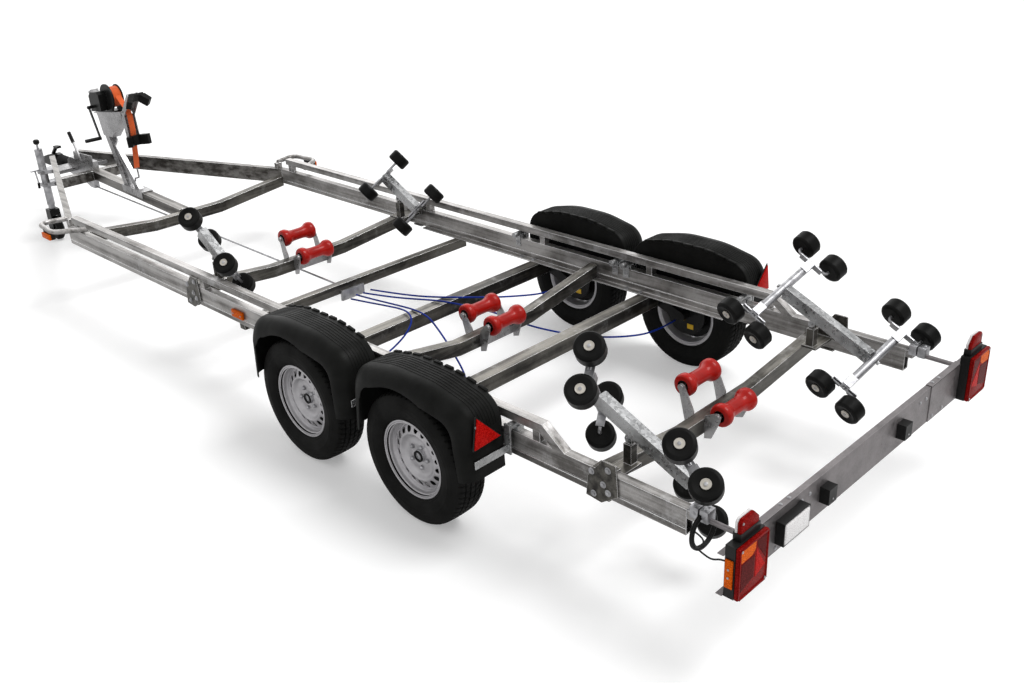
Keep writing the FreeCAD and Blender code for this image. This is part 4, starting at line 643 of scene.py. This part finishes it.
def built(name, made, slot, *replaced, blocks=(), outlines=(), side=1, rounding=None):
    """Piece of blocks by their corners and of outlines with their two places along the trailer."""
    bm = bmesh.new()
    for low, high in blocks:
        block(bm, low, high)
    for outline, x0, x1 in outlines:
        slab(bm, outline, x0, x1)
    bm.normal_update()
    bm_piece(name, bm, made, slot, *replaced, side=side, rounding=rounding)


def round_edges(bm, edges, width, steps):
    bmesh.ops.bevel(bm, geom=list(edges), offset=width, segments=steps, affect="EDGES", profile=0.5)


def bridge(bm, first, second):
    """Band of faces between two closed rings of vertices."""
    for index in range(len(first)):
        after = (index + 1) % len(first)
        bm.faces.new((first[index], first[after], second[after], second[index]))


def lathe_into(bm, profile, segments, place=None, closed=False):
    """Turn a section of (along Y, radius) points about the Y axis into a bmesh."""
    rings = []
    for along, radius in profile:
        steps = segments if radius > 1e-6 else 1
        angles = [2 * math.pi * step / steps for step in range(steps)]
        rings.append([bm.verts.new((radius * math.cos(a), along, radius * math.sin(a))) for a in angles])
    for low, high in zip(rings, rings[1:] + rings[:1] if closed else rings[1:]):
        for step in range(segments):
            after = (step + 1) % segments
            corners = (low[step % len(low)], low[after % len(low)],
                       high[after % len(high)], high[step % len(high)])
            face = list(dict.fromkeys(corners))
            if len(face) > 2:
                bm.faces.new(face)
    if place is not None:
        bmesh.ops.transform(bm, matrix=place, verts=[vert for ring in rings for vert in ring])


def lathe_mesh(name, profile, segments=48, closed=False):
    bm = bmesh.new()
    lathe_into(bm, profile, segments, closed=closed)
    return smooth(bm_mesh(name, bm))


def hexagon(bm, centre, radius, height, turn=0.0):
    """Nut about the Y axis, from the centre outward."""
    rings = []
    for y in (centre[1], centre[1] + height):
        ring = []
        for step in range(6):
            angle = turn + math.pi / 3 * step
            ring.append(bm.verts.new((centre[0] + radius * math.cos(angle), y,
                                      centre[2] + radius * math.sin(angle))))
        rings.append(ring)
    bridge(bm, *rings)
    bm.faces.new(rings[1])
    bm.faces.new(rings[0][::-1])


def block(bm, low, high, place=None):
    """Box between two corners, put in place by a matrix."""
    made = bmesh.ops.create_cube(bm, size=1.0)["verts"]
    bmesh.ops.scale(bm, vec=[b - a for a, b in zip(low, high)], verts=made)
    bmesh.ops.translate(bm, vec=[(a + b) / 2 for a, b in zip(low, high)], verts=made)
    if place is not None:
        bmesh.ops.transform(bm, matrix=place, verts=made)
    return made


def slab(bm, outline, x0, x1):
    """Block of a (side, height) outline between two places along the trailer."""
    rings = [[bm.verts.new((x, y, z)) for y, z in outline] for x in (x0, x1)]
    bm.faces.new(rings[0][::-1])
    bm.faces.new(rings[1])
    bridge(bm, *rings)


def strip_between(bm, outer, inner, x, y0, y1):
    """Thin wall between two (ahead of x, height) lines, from y0 to y1."""
    rows = []
    for (ox, oz), (ix, iz) in zip(outer, inner):
        corners = ((x + ox, y0, oz), (x + ox, y1, oz), (x + ix, y1, iz), (x + ix, y0, iz))
        rows.append([bm.verts.new(corner) for corner in corners])
    for low, high in zip(rows, rows[1:]):
        bridge(bm, low, high)
    bm.faces.new(rows[0][::-1])
    bm.faces.new(rows[-1])


def rod_between(bm, first, second, radius):
    """Round rod from one point to another."""
    first = Vector(first)
    along = Vector(second) - first
    made = bmesh.ops.create_cone(bm, cap_ends=True, segments=16, radius1=radius, radius2=radius,
                                 depth=along.length)
    place = Matrix.Translation(first + along / 2) @ along.to_track_quat("Z", "Y").to_matrix().to_4x4()
    bmesh.ops.transform(bm, matrix=place, verts=made["verts"])


def bolt(bm, at, out, radius):
    """Hexagon head with its washer, standing out from a face."""
    turn = Vector(OUT).rotation_difference(Vector(out)).to_matrix().to_4x4()
    place = Matrix.Translation(at) @ turn
    lathe_into(bm, [(along, radius * share) for along, share in WASHER], 20, place)
    start = len(bm.verts)
    hexagon(bm, (0.0, 0.0, 0.0), radius, radius * HEAD_HEIGHT)
    bm.verts.ensure_lookup_table()
    bmesh.ops.transform(bm, matrix=place, verts=bm.verts[start:])


def bolt_rows(bm, rows, side):
    """Bolts of a table, on the left or mirrored on the right."""
    for out, radius, places in rows:
        for x, y, z in places:
            bolt(bm, (x, side * y, z), (out[0], side * out[1], out[2]), radius)


def nurbs_curve(name, lines, radius, steps, around, order):
    """Tube along smooth open lines."""
    curve = bpy.data.curves.new(name, "CURVE")
    curve.dimensions = "3D"
    curve.bevel_depth = radius
    curve.bevel_resolution = around
    curve.resolution_u = steps
    for line in lines:
        spline = curve.splines.new("NURBS")
        spline.points.add(len(line) - 1)
        for point, place in zip(spline.points, line):
            point.co = (*place, 1.0)
        spline.order_u = order
        spline.use_endpoint_u = True
    return curve


def wear(node, *materials):
    """Give a node its materials and smooth shading up to its sharp edges."""
    obj = nodes[node]
    obj.data.materials.clear()
    for made in materials:
        obj.data.materials.append(made)
    smooth(obj.data)
    return obj


def zone(obj, choose):
    """Pick a material for each face of an object from its centre."""
    for face in obj.data.polygons:
        face.material_index = choose(face.center)


def dress_nodes():
    """Materials of the CAD nodes, apart from the black rollers."""
    for made, *names in NODE_LOOKS:
        for node in names:
            wear(node, made)
    for node in nodes:
        if node.startswith("keel_roller_"):
            wear(node, RED)
        elif node.endswith(("rocker_left", "rocker_right")):
            wear(node, BEAM_PALE)
        elif node.startswith("axle_"):
            zone(wear(node, MEMBER, BACKPLATE), lambda centre: int(abs(centre.y) > AXLE_END_Y))
        elif node.startswith("tyre_"):
            wear(node, TYRE)
        elif node.startswith("rim_"):
            wear(node, RIM_PAINT)
    wear("lamp_lenses", RED_LENS, ORANGE_LENS, WHITE_LENS)
    zone(wear("jockey_outer", ZINC, BLACK_PAINT), lambda centre: int(centre.z > JOCKEY_BLACK_Z))
    zone(wear("overrun_housing", PALE, BLACK_PAINT), lambda centre: int(centre.z > HOUSING_BLACK_Z))


def light_cable():
    """Free cable from the left lamp, round a coil whose turns lie a diameter apart, and into the rail."""
    points = list(CABLE_START)
    for turn in range(COIL_TURNS):
        last = turn == COIL_TURNS - 1
        place = 2 * math.pi * turn / (COIL_TURNS - 1)
        ring = 0.0 if last else CABLE_D
        radius = COIL_R + ring * math.sin(place)
        for step in range(TURN_POINTS + LAST_TURN_EXTRA * last):
            angle = COIL_START - 2 * math.pi * step / TURN_POINTS
            points.append((COIL_X + ring * math.cos(place), COIL_Y + radius * math.cos(angle),
                           COIL_Z + radius * math.sin(angle)))
    points += CABLE_END
    curve = nurbs_curve("light_cable_run", [points], CABLE_D / 2, 8, 4, 3)
    cable = dressed(placed("light_cable_run", curve), "chassis", CABLE, "cable_black", "light_cable",
                    "light_cable_coil")
    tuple(points[0])


def turned(degrees, axis):
    return Matrix.Rotation(math.radians(degrees), 4, axis)


def cross_bars(group, side_name):
    """Label, reach and placement of each cross bar of a rocking group on one side."""
    (x, z), reaches, pitch, roll = group
    side = SIDES[side_name]
    rock = Matrix.Translation((x, side * GROUP_Y, z)) @ turned(-pitch[side_name], "Y")
    for label, reach in reaches.items():
        lean = turned(side * roll[side_name], "X")
        yield label, reach, rock @ Matrix.Translation((reach, 0.0, PIVOT_RISE)) @ lean


def roller_places():
    """Placements of the black rollers by body, each with +Y outward along its rod."""
    found = {}
    flips = {1: turned(0, "Z"), -1: turned(180, "Z")}
    for side_name in SIDES:
        for label, reach, cross in cross_bars(FRONT_GROUP, side_name):
            ahead = math.copysign(BAR_ROD_U, reach)
            found["front_bar_" + label + "_" + side_name] = [
                cross @ Matrix.Translation((ahead, way * BAR_OUT, 0.0)) @ flip for way, flip in flips.items()]
        for label, _, cross in cross_bars(REAR_GROUP, side_name):
            plate = cross @ turned(-REAR_TILT[side_name][label], "Y")
            found["rear_tube_" + label + "_" + side_name] = [
                plate @ Matrix.Translation((end * PAIR_HALF, way * PAIR_OUT, 0.0)) @ flip
                for way, flip in flips.items() for end in (1, -1)]
    return found


def dress_rollers():
    """Black rollers on zinc rods, each with its pale hub and rod end."""
    for body, rollers in roller_places().items():
        inverses = [place.inverted() for place in rollers]

        def choose(centre):
            for inverse in inverses:
                local = inverse @ centre
                radius = math.hypot(local.x, local.z)
                if abs(local.y) < ROLLER_HALF + ROLLER_FIT and radius < ROLLER_R + ROLLER_FIT:
                    return 2 if radius < HUB_CAP_R and local.y > 0 else 1
            return 0

        zone(wear(body, ZINC, BLACK, HUB), choose)
        for label, profile, segments, made, slot in (("hubs_", HUB_RING, 32, HUB, "black_roller"),
                                                     ("rod_ends_", ROD_END, 20, ZINC, "zinc_steel")):
            bm = bmesh.new()
            for place in rollers:
                lathe_into(bm, profile, segments, place)
            bm_piece(label + body, bm, made, slot, body=body)


def tread_row():
    """Points across the tread with its grooves, each with the depth a sipe has there."""
    near, far = TREAD_ENDS
    row = [(-far, 0.0, SIPE_DEPTH), (-near, 0.0, SIPE_DEPTH)]
    for middle in GROOVE_YS:
        sipe = SIPE_DEPTH if abs(middle) > CENTRE_RIBS else SIPE_DEPTH * CENTRE_SIPE
        wall = GROOVE_HALF * GROOVE_WALL
        row += [(middle - GROOVE_HALF, 0.0, sipe), (middle - wall, GROOVE_DEPTH, 0.0),
                (middle + wall, GROOVE_DEPTH, 0.0), (middle + GROOVE_HALF, 0.0, sipe)]
        if middle < GROOVE_YS[-1]:
            row += [(middle + along, 0.0, sipe * RIB_SIPE) for along in RIB_POINTS]
    return row + [(near, 0.0, SIPE_DEPTH), (far, 0.0, SIPE_DEPTH)]


def tyre_mesh():
    """Tyre with a grooved and siped tread and moulded rings on its sidewalls."""
    wall = [(along, radius, SIPE_DEPTH if index >= len(SIDEWALL) - 2 else 0.0)
            for index, (along, radius) in enumerate(SIDEWALL)]
    section = [(-along, radius, sipe) for along, radius, sipe in wall]
    for along, depth, sipe in tread_row():
        section.append((along, WHEEL_Z - CROWN_DROP * (along / TREAD_ENDS[1]) ** 2 - depth, sipe))
    section += wall[::-1]
    count = TREAD_PITCHES * PITCH_STEPS
    verts = []
    for step in range(count):
        angle = 2 * math.pi * step / count
        for along, radius, sipe in section:
            lean = SIPE_SLOPE * abs(along) + CENTRE_SHIFT * (abs(along) < CENTRE_RIBS)
            drop = sipe if (step + lean * SIPE_SKEW) % PITCH_STEPS < SIPE_STEPS else 0.0
            verts.append(((radius - drop) * math.cos(angle), along, (radius - drop) * math.sin(angle)))
    width = len(section)
    faces = []
    for here in range(0, count * width, width):
        there = (here + width) % (count * width)
        for column in range(width):
            across = (column + 1) % width
            faces.append((here + column, here + across, there + across, there + column))
    mesh = bpy.data.meshes.new("road_tyre")
    mesh.from_pydata(verts, [], faces)
    return smooth(mesh, 38)


def band_point(hole, across, outward, depth):
    """Point on the rim's hole band, from a hole's middle: metres along the ring and outward."""
    (low_y, high_r), (high_y, low_r) = RIM_BAND
    middle = (high_r + low_r) / 2
    radius = middle + outward
    angle = 2 * math.pi * hole / HOLES + across / middle
    share = (high_r - radius) / (high_r - low_r)
    along = low_y + (high_y - low_y) * share - depth
    return (radius * math.cos(angle), along, radius * math.sin(angle))


def hole_band(bm, depth, recess):
    """Ring band with its holes; gives the loops round the holes."""
    (_, high_r), (_, low_r) = RIM_BAND
    half_r = (high_r - low_r) / 2
    half_arc = math.pi / HOLES * (high_r + low_r) / 2
    edge = [(-half_arc + 2 * half_arc * k / HOLE_ARC, -half_r) for k in range(HOLE_ARC)]
    edge += [(half_arc, -half_r + 2 * half_r * k / HOLE_SIDE) for k in range(HOLE_SIDE)]
    edge += [(-across, -outward) for across, outward in edge]
    loops = []
    for hole in range(HOLES):
        rings = [[bm.verts.new(band_point(hole, across, outward, depth)) for across, outward in edge]]
        for grow, sink in ((HOLE_LIP, 0.0), (0.0, recess)):
            ring = []
            for across, outward in edge:
                turn = math.atan2(outward / HOLE_HALF[1], across / HOLE_HALF[0])
                place = ((HOLE_HALF[0] + grow) * math.cos(turn), (HOLE_HALF[1] + grow) * math.sin(turn))
                ring.append(bm.verts.new(band_point(hole, *place, depth + sink)))
            bridge(bm, rings[-1], ring)
            rings.append(ring)
        loops.append(rings[-1])
    return loops


def rim_mesh():
    """Pressed rim with its ring of holes and dished centre."""
    bm = bmesh.new()
    outer, inner = RIM_BAND
    back_outer = (outer[0] - BAND_DEPTH, outer[1])
    back_inner = (inner[0] - BAND_DEPTH, inner[1])
    front = (RIM_FACE + (outer,), (inner,) + RIM_DISH)
    back = (RIM_BACK + (back_inner,), (back_outer,) + RIM_BARREL)
    for profile in front + back:
        lathe_into(bm, profile, HOLES * HOLE_ARC, turned(-180 / HOLES, "Y"))
    for near, far in zip(hole_band(bm, 0.0, HOLE_SINK), hole_band(bm, BAND_DEPTH, -HOLE_SINK)):
        bridge(bm, near, far)
    bmesh.ops.remove_doubles(bm, verts=bm.verts, dist=2e-5)
    return smooth(bm_mesh("rim_disc", bm), 34)


def nut_mesh():
    """Wheel nuts with their conical seats and rounded ends."""
    bm = bmesh.new()
    for index in range(NUTS):
        angle = 2 * math.pi * index / NUTS + math.pi / 2
        x, z = NUT_RING * math.cos(angle), NUT_RING * math.sin(angle)
        hexagon(bm, (x, NUT_BASE, z), NUT_R, NUT_HEIGHT, angle)
        for profile, segments in ((NUT_SEAT, 20), (NUT_TIP, 16)):
            lathe_into(bm, profile, segments, Matrix.Translation((x, 0.0, z)))
    return bm_mesh("wheel_nuts", bm)


def road_wheels():
    """Tyres, rims, nuts, caps and drums, each turning with its own wheel."""
    pieces = (
        ("tyre", tyre_mesh(), TYRE, "tyre"), ("rim", rim_mesh(), RIM_PAINT, "rim"),
        ("nuts", nut_mesh(), ZINC, "zinc_steel"), ("cap", lathe_mesh("hub_cap", CAP), ZINC, "zinc_steel"),
        ("cap_ring", lathe_mesh("hub_cap_ring", CAP_RING, closed=True), BLACK_PAINT, "black_metal"),
        ("drum", lathe_mesh("brake_drum", DRUM, 64), BLACK_PAINT, "black_metal"),
    )
    for end, (x, spin) in RIM_SPIN.items():
        for side_name, side in SIDES.items():
            wheel = end + "_" + side_name
            for label, mesh, made, slot in pieces:
                turn = (0.0, 0.0 if label == "tyre" else SIDE_SPIN * side + spin, 0.0 if side > 0 else 180.0)
                piece = placed("road_" + label + "_" + wheel, mesh, (x, side * WHEEL_Y, WHEEL_Z), turn)
                replaced = [label + "_" + wheel] if label in ("tyre", "rim") else []
                dressed(piece, "wheel_" + wheel, made, slot, *replaced)


def guard_arch(inset):
    """Outline of a mudguard moved inward, front foot to rear foot: (ahead of its middle, height)."""
    corners = [Vector(corner) for corner in GUARD_CORNERS]
    points = [corners[0]]
    for before, corner, after, bend in zip(corners, corners[1:], corners[2:], GUARD_BENDS):
        into = (corner - before).normalized()
        out = (after - corner).normalized()
        half = into.angle(out) / 2
        centre = corner + (out - into).normalized() * (bend / math.cos(half))
        start = corner - into * (bend * math.tan(half)) - centre
        for step in range(BEND_STEPS + 1):
            points.append(centre + Matrix.Rotation(-2 * half * step / BEND_STEPS, 2) @ start)
    points.append(corners[-1])
    moved = []
    for index, point in enumerate(points):
        along = points[min(index + 1, len(points) - 1)] - points[max(index - 1, 0)]
        along.normalize()
        moved.append(point + Vector((along.y, -along.x)) * inset)
    return moved[::-1] + [Vector((-x, z)) for x, z in moved[1:]]


def shoulder(rise, drop):
    """Quarter turn from the top of a mudguard down to its outer wall."""
    turns = [math.radians(90 * step / 8) for step in range(9)]
    return [(SHOULDER_Y + rise * math.sin(turn), SHOULDER_DROP - drop * math.cos(turn)) for turn in turns]


def guard_shells():
    """Mudguards with a broad rounded shoulder, deeper towards the feet, and a lip on the inner side."""
    wide = GUARD_OUT - SHOULDER_Y
    outer = [*GUARD_EDGE, *shoulder(wide, SHOULDER_DROP), (GUARD_OUT, GUARD_DROP)]
    inner = [*GUARD_LINING, *shoulder(wide - GUARD_T, SHOULDER_DROP - GUARD_T),
             (GUARD_OUT - GUARD_T, GUARD_DROP)]
    section = outer + inner[::-1]
    for side_name, side in SIDES.items():
        bm = bmesh.new()
        for middle, wheel in GUARD_MIDDLES.values():
            hub = Vector((wheel - middle, WHEEL_Z))
            rows = []
            for point in guard_arch(0.0):
                drop = min(max((point - hub).length - WHEEL_CLEAR, DROP_LIMITS[0]), DROP_LIMITS[1])
                inward = (hub - point).normalized()
                row = []
                for y, depth in section:
                    at = point + inward * (drop * depth / GUARD_DROP)
                    row.append(bm.verts.new((middle + at.x, y, at.y)))
                rows.append(row)
            for low, high in zip(rows, rows[1:]):
                bridge(bm, low, high)
            for row, way in ((rows[0], 1), (rows[-1], -1)):
                for column in range(len(outer) - 1):
                    corners = (row[column], row[column + 1], row[-2 - column], row[-1 - column])
                    bm.faces.new(corners[::way])
        bm_piece("guard_shells_" + side_name, bm, GUARD, "guard", "mudguards_" + side_name, side=side)


def lug_places(arch):
    """Places and slopes of the edge lugs, evenly spaced along a mudguard's outline."""
    lengths = [0.0]
    for before, after in zip(arch, arch[1:]):
        lengths.append(lengths[-1] + (after - before).length)
    for lug in range(LUGS):
        place = lengths[-1] / 2 + (lug - LUGS // 2) * LUG_PITCH
        index = max(k for k, length in enumerate(lengths) if length <= place)
        share = (place - lengths[index]) / (lengths[index + 1] - lengths[index])
        along = (arch[index + 1] - arch[index]).normalized()
        yield arch[index].lerp(arch[index + 1], share), math.atan2(-along.y, -along.x)


def mudguard_details():
    """Inner skirts, ribs and edge lugs of the mudguards."""
    for end, (middle, wheel) in GUARD_MIDDLES.items():
        for side_name, side in SIDES.items():
            label = end + "_" + side_name
            outer = [point for point in guard_arch(0.003) if point.y > SKIRT_FOOT]
            hub = Vector((wheel - middle, WHEEL_Z))
            inner = [hub + (point - hub).normalized() * SKIRT_R for point in outer]
            bm = bmesh.new()
            strip_between(bm, outer, inner, middle, *SKIRT_Y)
            bm_piece("guard_skirt_" + label, bm, GUARD, "guard", side=side)
            top, base = ([point for point in guard_arch(inset) if point.y > RIB_FOOT] for inset in RIB_INSETS)
            bm = bmesh.new()
            for rib in range(RIBS):
                y = RIB_Y + RIB_PITCH * rib
                strip_between(bm, top, base, middle, y, y + RIB_WIDTH)
            for at, slope in lug_places(guard_arch(0.0)):
                spot = Matrix.Translation((middle + at.x, 0.0, at.y)) @ Matrix.Rotation(-slope, 4, "Y")
                edges = {edge for vert in block(bm, *LUG, spot) for edge in vert.link_edges}
                round_edges(bm, edges, 0.0045, 2)
            bm_piece("guard_ribs_" + label, bm, GUARD, "guard", side=side)


def reflectors():
    """Red triangles behind the mudguards, with their screws."""
    corners = [Vector(corner) for corner in REFLECTOR]
    middle = sum(corners, Vector((0.0, 0.0))) / len(corners)
    for side_name, side in SIDES.items():
        for label, grow, ahead, thick, made, slot in REFLECTOR_LAYERS:
            face = REFLECTOR_X + ahead
            bm = bmesh.new()
            slab(bm, [middle + (corner - middle) * grow for corner in corners], face - thick, face)
            bm_piece("reflector_" + label + "_" + side_name, bm, made, slot, side=side, rounding=(0.0008, 2))
        bm = bmesh.new()
        bolt_rows(bm, ((BACK, 0.0045, [(REFLECTOR_X - 0.0015, y, z) for y, z in REFLECTOR_SCREWS]),), side)
        bm_piece("reflector_screws_" + side_name, bm, ZINC, "zinc_steel")


def keel_rollers():
    """Red rollers with rounded ends, a hollowed waist and a dark recess round the pin."""
    other = tuple((-along, radius) for along, radius in KEEL_HALF[::-1])
    mesh = lathe_mesh("keel_spool", KEEL_HALF + other, 56)
    mesh.materials.append(RED)
    mesh.materials.append(BLACK)
    for face in mesh.polygons:
        centre = face.center
        if abs(centre.y) > RECESS_Y and math.hypot(centre.x, centre.z) < RECESS_R:
            face.material_index = 1
    for label, (x, z) in KEEL_CENTRES.items():
        node = "keel_roller_" + label
        dressed(placed("spool_" + label, mesh, (x, 0.0, z)), node, RED, "keel_roller", node)


def brake_lines():
    """Blue sheathed cables in easy curves over the front axle and on to the four backplates."""
    lines = [[(x + REAR_AXLE, y, z) for x, y, z in line] for line in BRAKE_LINES]
    shape = placed("brake_line_path", nurbs_curve("brake_lines", lines, BRAKE_CABLE_R, 10, 3, 4))
    bpy.context.view_layer.update()
    mesh = bpy.data.meshes.new_from_object(shape.evaluated_get(bpy.context.evaluated_depsgraph_get()))
    bpy.data.objects.remove(shape)
    mesh.materials.clear()
    dressed(placed("brake_lines", mesh), "chassis", BLUE, "cable_blue", "brake_cables")


def lamp_details():
    """Lenses of the rear lamps with their coloured fields, side lenses, markers and screws."""
    for side_name, side in SIDES.items():
        for name, made, slot, rounding, blocks, outlines in LAMP_PIECES:
            replaced = ["lamp_lenses"] if name + side_name == "rear_lens_left" else []
            built(name + side_name, made, slot, *replaced, blocks=blocks, outlines=outlines, side=side,
                  rounding=rounding)
        bm = bmesh.new()
        bolt_rows(bm, LENS_SCREWS, side)
        bm_piece("lens_screws_" + side_name, bm, ZINC, "zinc_steel")
        built("board_ends_" + side_name, BOARD, "pale_steel", blocks=BOARD_ENDS, side=side)


def board_details():
    """Reversing lens, overlapping sheets and bolts of the light board."""
    built("reversing_lens", WHITE_LENS, "lens_red", blocks=[REVERSING_LENS], rounding=(0.012, 4))
    built("board_overlap", BOARD, "pale_steel", blocks=BOARD_OVERLAP)
    bm = bmesh.new()
    for side in SIDES.values():
        bolt_rows(bm, BOARD_BOLTS, side)
    bolt_rows(bm, ((BACK, 0.0028, PLATE_LAMP_SCREWS),), 1)
    bm_piece("board_bolts", bm, ZINC, "zinc_steel")


def support_clamps():
    """Blocks that clamp the light board's tubes at the rear ends of the rails."""
    for side_name, side in SIDES.items():
        y = side * COIL_Y
        bm = bmesh.new()
        for x in CLAMP_XS:
            block(bm, (x, y - CLAMP_HALF, CLAMP_ZS[0]), (x + CLAMP_LONG, y + CLAMP_HALF, CLAMP_ZS[1]))
        round_edges(bm, bm.edges, 0.003, 2)
        bolt_rows(bm, CLAMP_BOLTS, side)
        bm_piece("support_clamp_" + side_name, bm, ZINC, "zinc_steel")


def front_controls():
    """Clamp handle beside the jockey wheel and its grip."""
    bm = bmesh.new()
    for rod in HANDLE_RODS:
        rod_between(bm, *rod)
    bm_piece("clamp_handle", bm, ZINC, "zinc_steel")
    bm = bmesh.new()
    rod_between(bm, *GRIP_ROD)
    bm_piece("clamp_grip", bm, BLACK_PAINT, "black_metal")


def backplate_patches():
    """Plain yellow patches on the backplates of the right wheels."""
    long, tall = PATCH_HALF
    blocks = [((x - long, PATCH_YS[0], z - tall), (x + long, PATCH_YS[1], z + tall)) for x, z in PATCHES]
    built("backplate_patches", YELLOW, "lens_red", blocks=blocks)


def frame_bolts():
    """Bolt heads of the clamps, brackets, stays and cross-members."""
    bm = bmesh.new()
    for side in SIDES.values():
        bolt_rows(bm, FRAME_BOLTS, side)
    for x, z in MEMBERS:
        for side in SIDES.values():
            for y in MEMBER_BOLTS:
                bolt(bm, (x + MEMBER_HALF, side * y, z), FORE, 0.009)
                bolt(bm, (x - MEMBER_HALF, side * y, z), BACK, 0.009)
    bm_piece("frame_bolts", bm, ZINC, "zinc_steel")


def camera():
    data = bpy.data.cameras.new("camera")
    data.lens = LENS_MM
    data.sensor_width = SENSOR_MM
    data.clip_end = 200.0
    bpy.context.scene.camera = placed("camera", data, CAMERA_AT, CAMERA_TURN)


def suns():
    for name, (turn, strength, spread) in SUNS.items():
        data = bpy.data.lights.new(name, "SUN")
        data.energy = strength
        data.angle = math.radians(spread)
        placed(name, data, turn=turn)


def world():
    """Plain pale surroundings: white where the camera or a reflection looks, dimmer as light."""
    made = bpy.data.worlds.new("studio")
    bpy.context.scene.world = made
    graph = Graph(made)
    output = graph.add("ShaderNodeOutputWorld")
    light = graph.feed(graph.add("ShaderNodeBackground"), Color=WHITE, Strength=WORLD_LIGHT)
    seen = graph.feed(graph.add("ShaderNodeBackground"), Color=WHITE, Strength=WORLD_SEEN)
    rays = graph.add("ShaderNodeLightPath").outputs
    direct = graph.math("MAXIMUM", rays["Is Camera Ray"], rays["Is Transmission Ray"])
    looks = graph.math("MAXIMUM", direct, rays["Is Glossy Ray"])
    mix = graph.add("ShaderNodeMixShader")
    for socket, value in zip(mix.inputs, (looks, light[0], seen[0])):
        graph.put(socket, value)
    graph.put(output.inputs[0], mix.outputs[0])


def floor():
    """Pale floor that keeps the soft shadow and reads white to the camera elsewhere."""
    graph = material("floor_pale")
    rays = graph.add("ShaderNodeLightPath").outputs
    made = graph.paint(
        Base_Color=graph.ramp(graph.noise(0.8, 3.0), (0.3, 0.8), (0.7, 0.82)), Roughness=0.9,
        Specular_IOR_Level=0.1, Emission_Color=WHITE,
        Emission_Strength=graph.math("MULTIPLY", rays["Is Camera Ray"], FLOOR_GLOW),
    )
    corners = [(x * FLOOR_HALF, y * FLOOR_HALF, 0.0) for x, y in ((-1, -1), (1, -1), (1, 1), (-1, 1))]
    mesh = bpy.data.meshes.new("floor")
    mesh.from_pydata(corners, [], [(0, 1, 2, 3)])
    mesh.materials.append(made)
    placed("floor", mesh)


def main():
    bpy.context.scene.view_settings.view_transform = "Standard"
    camera()
    light_cable()
    dress_nodes()
    dress_rollers()
    road_wheels()
    guard_shells()
    mudguard_details()
    reflectors()
    keel_rollers()
    brake_lines()
    lamp_details()
    board_details()
    support_clamps()
    front_controls()
    backplate_patches()
    frame_bolts()
    world()
    floor()
    suns()


main()
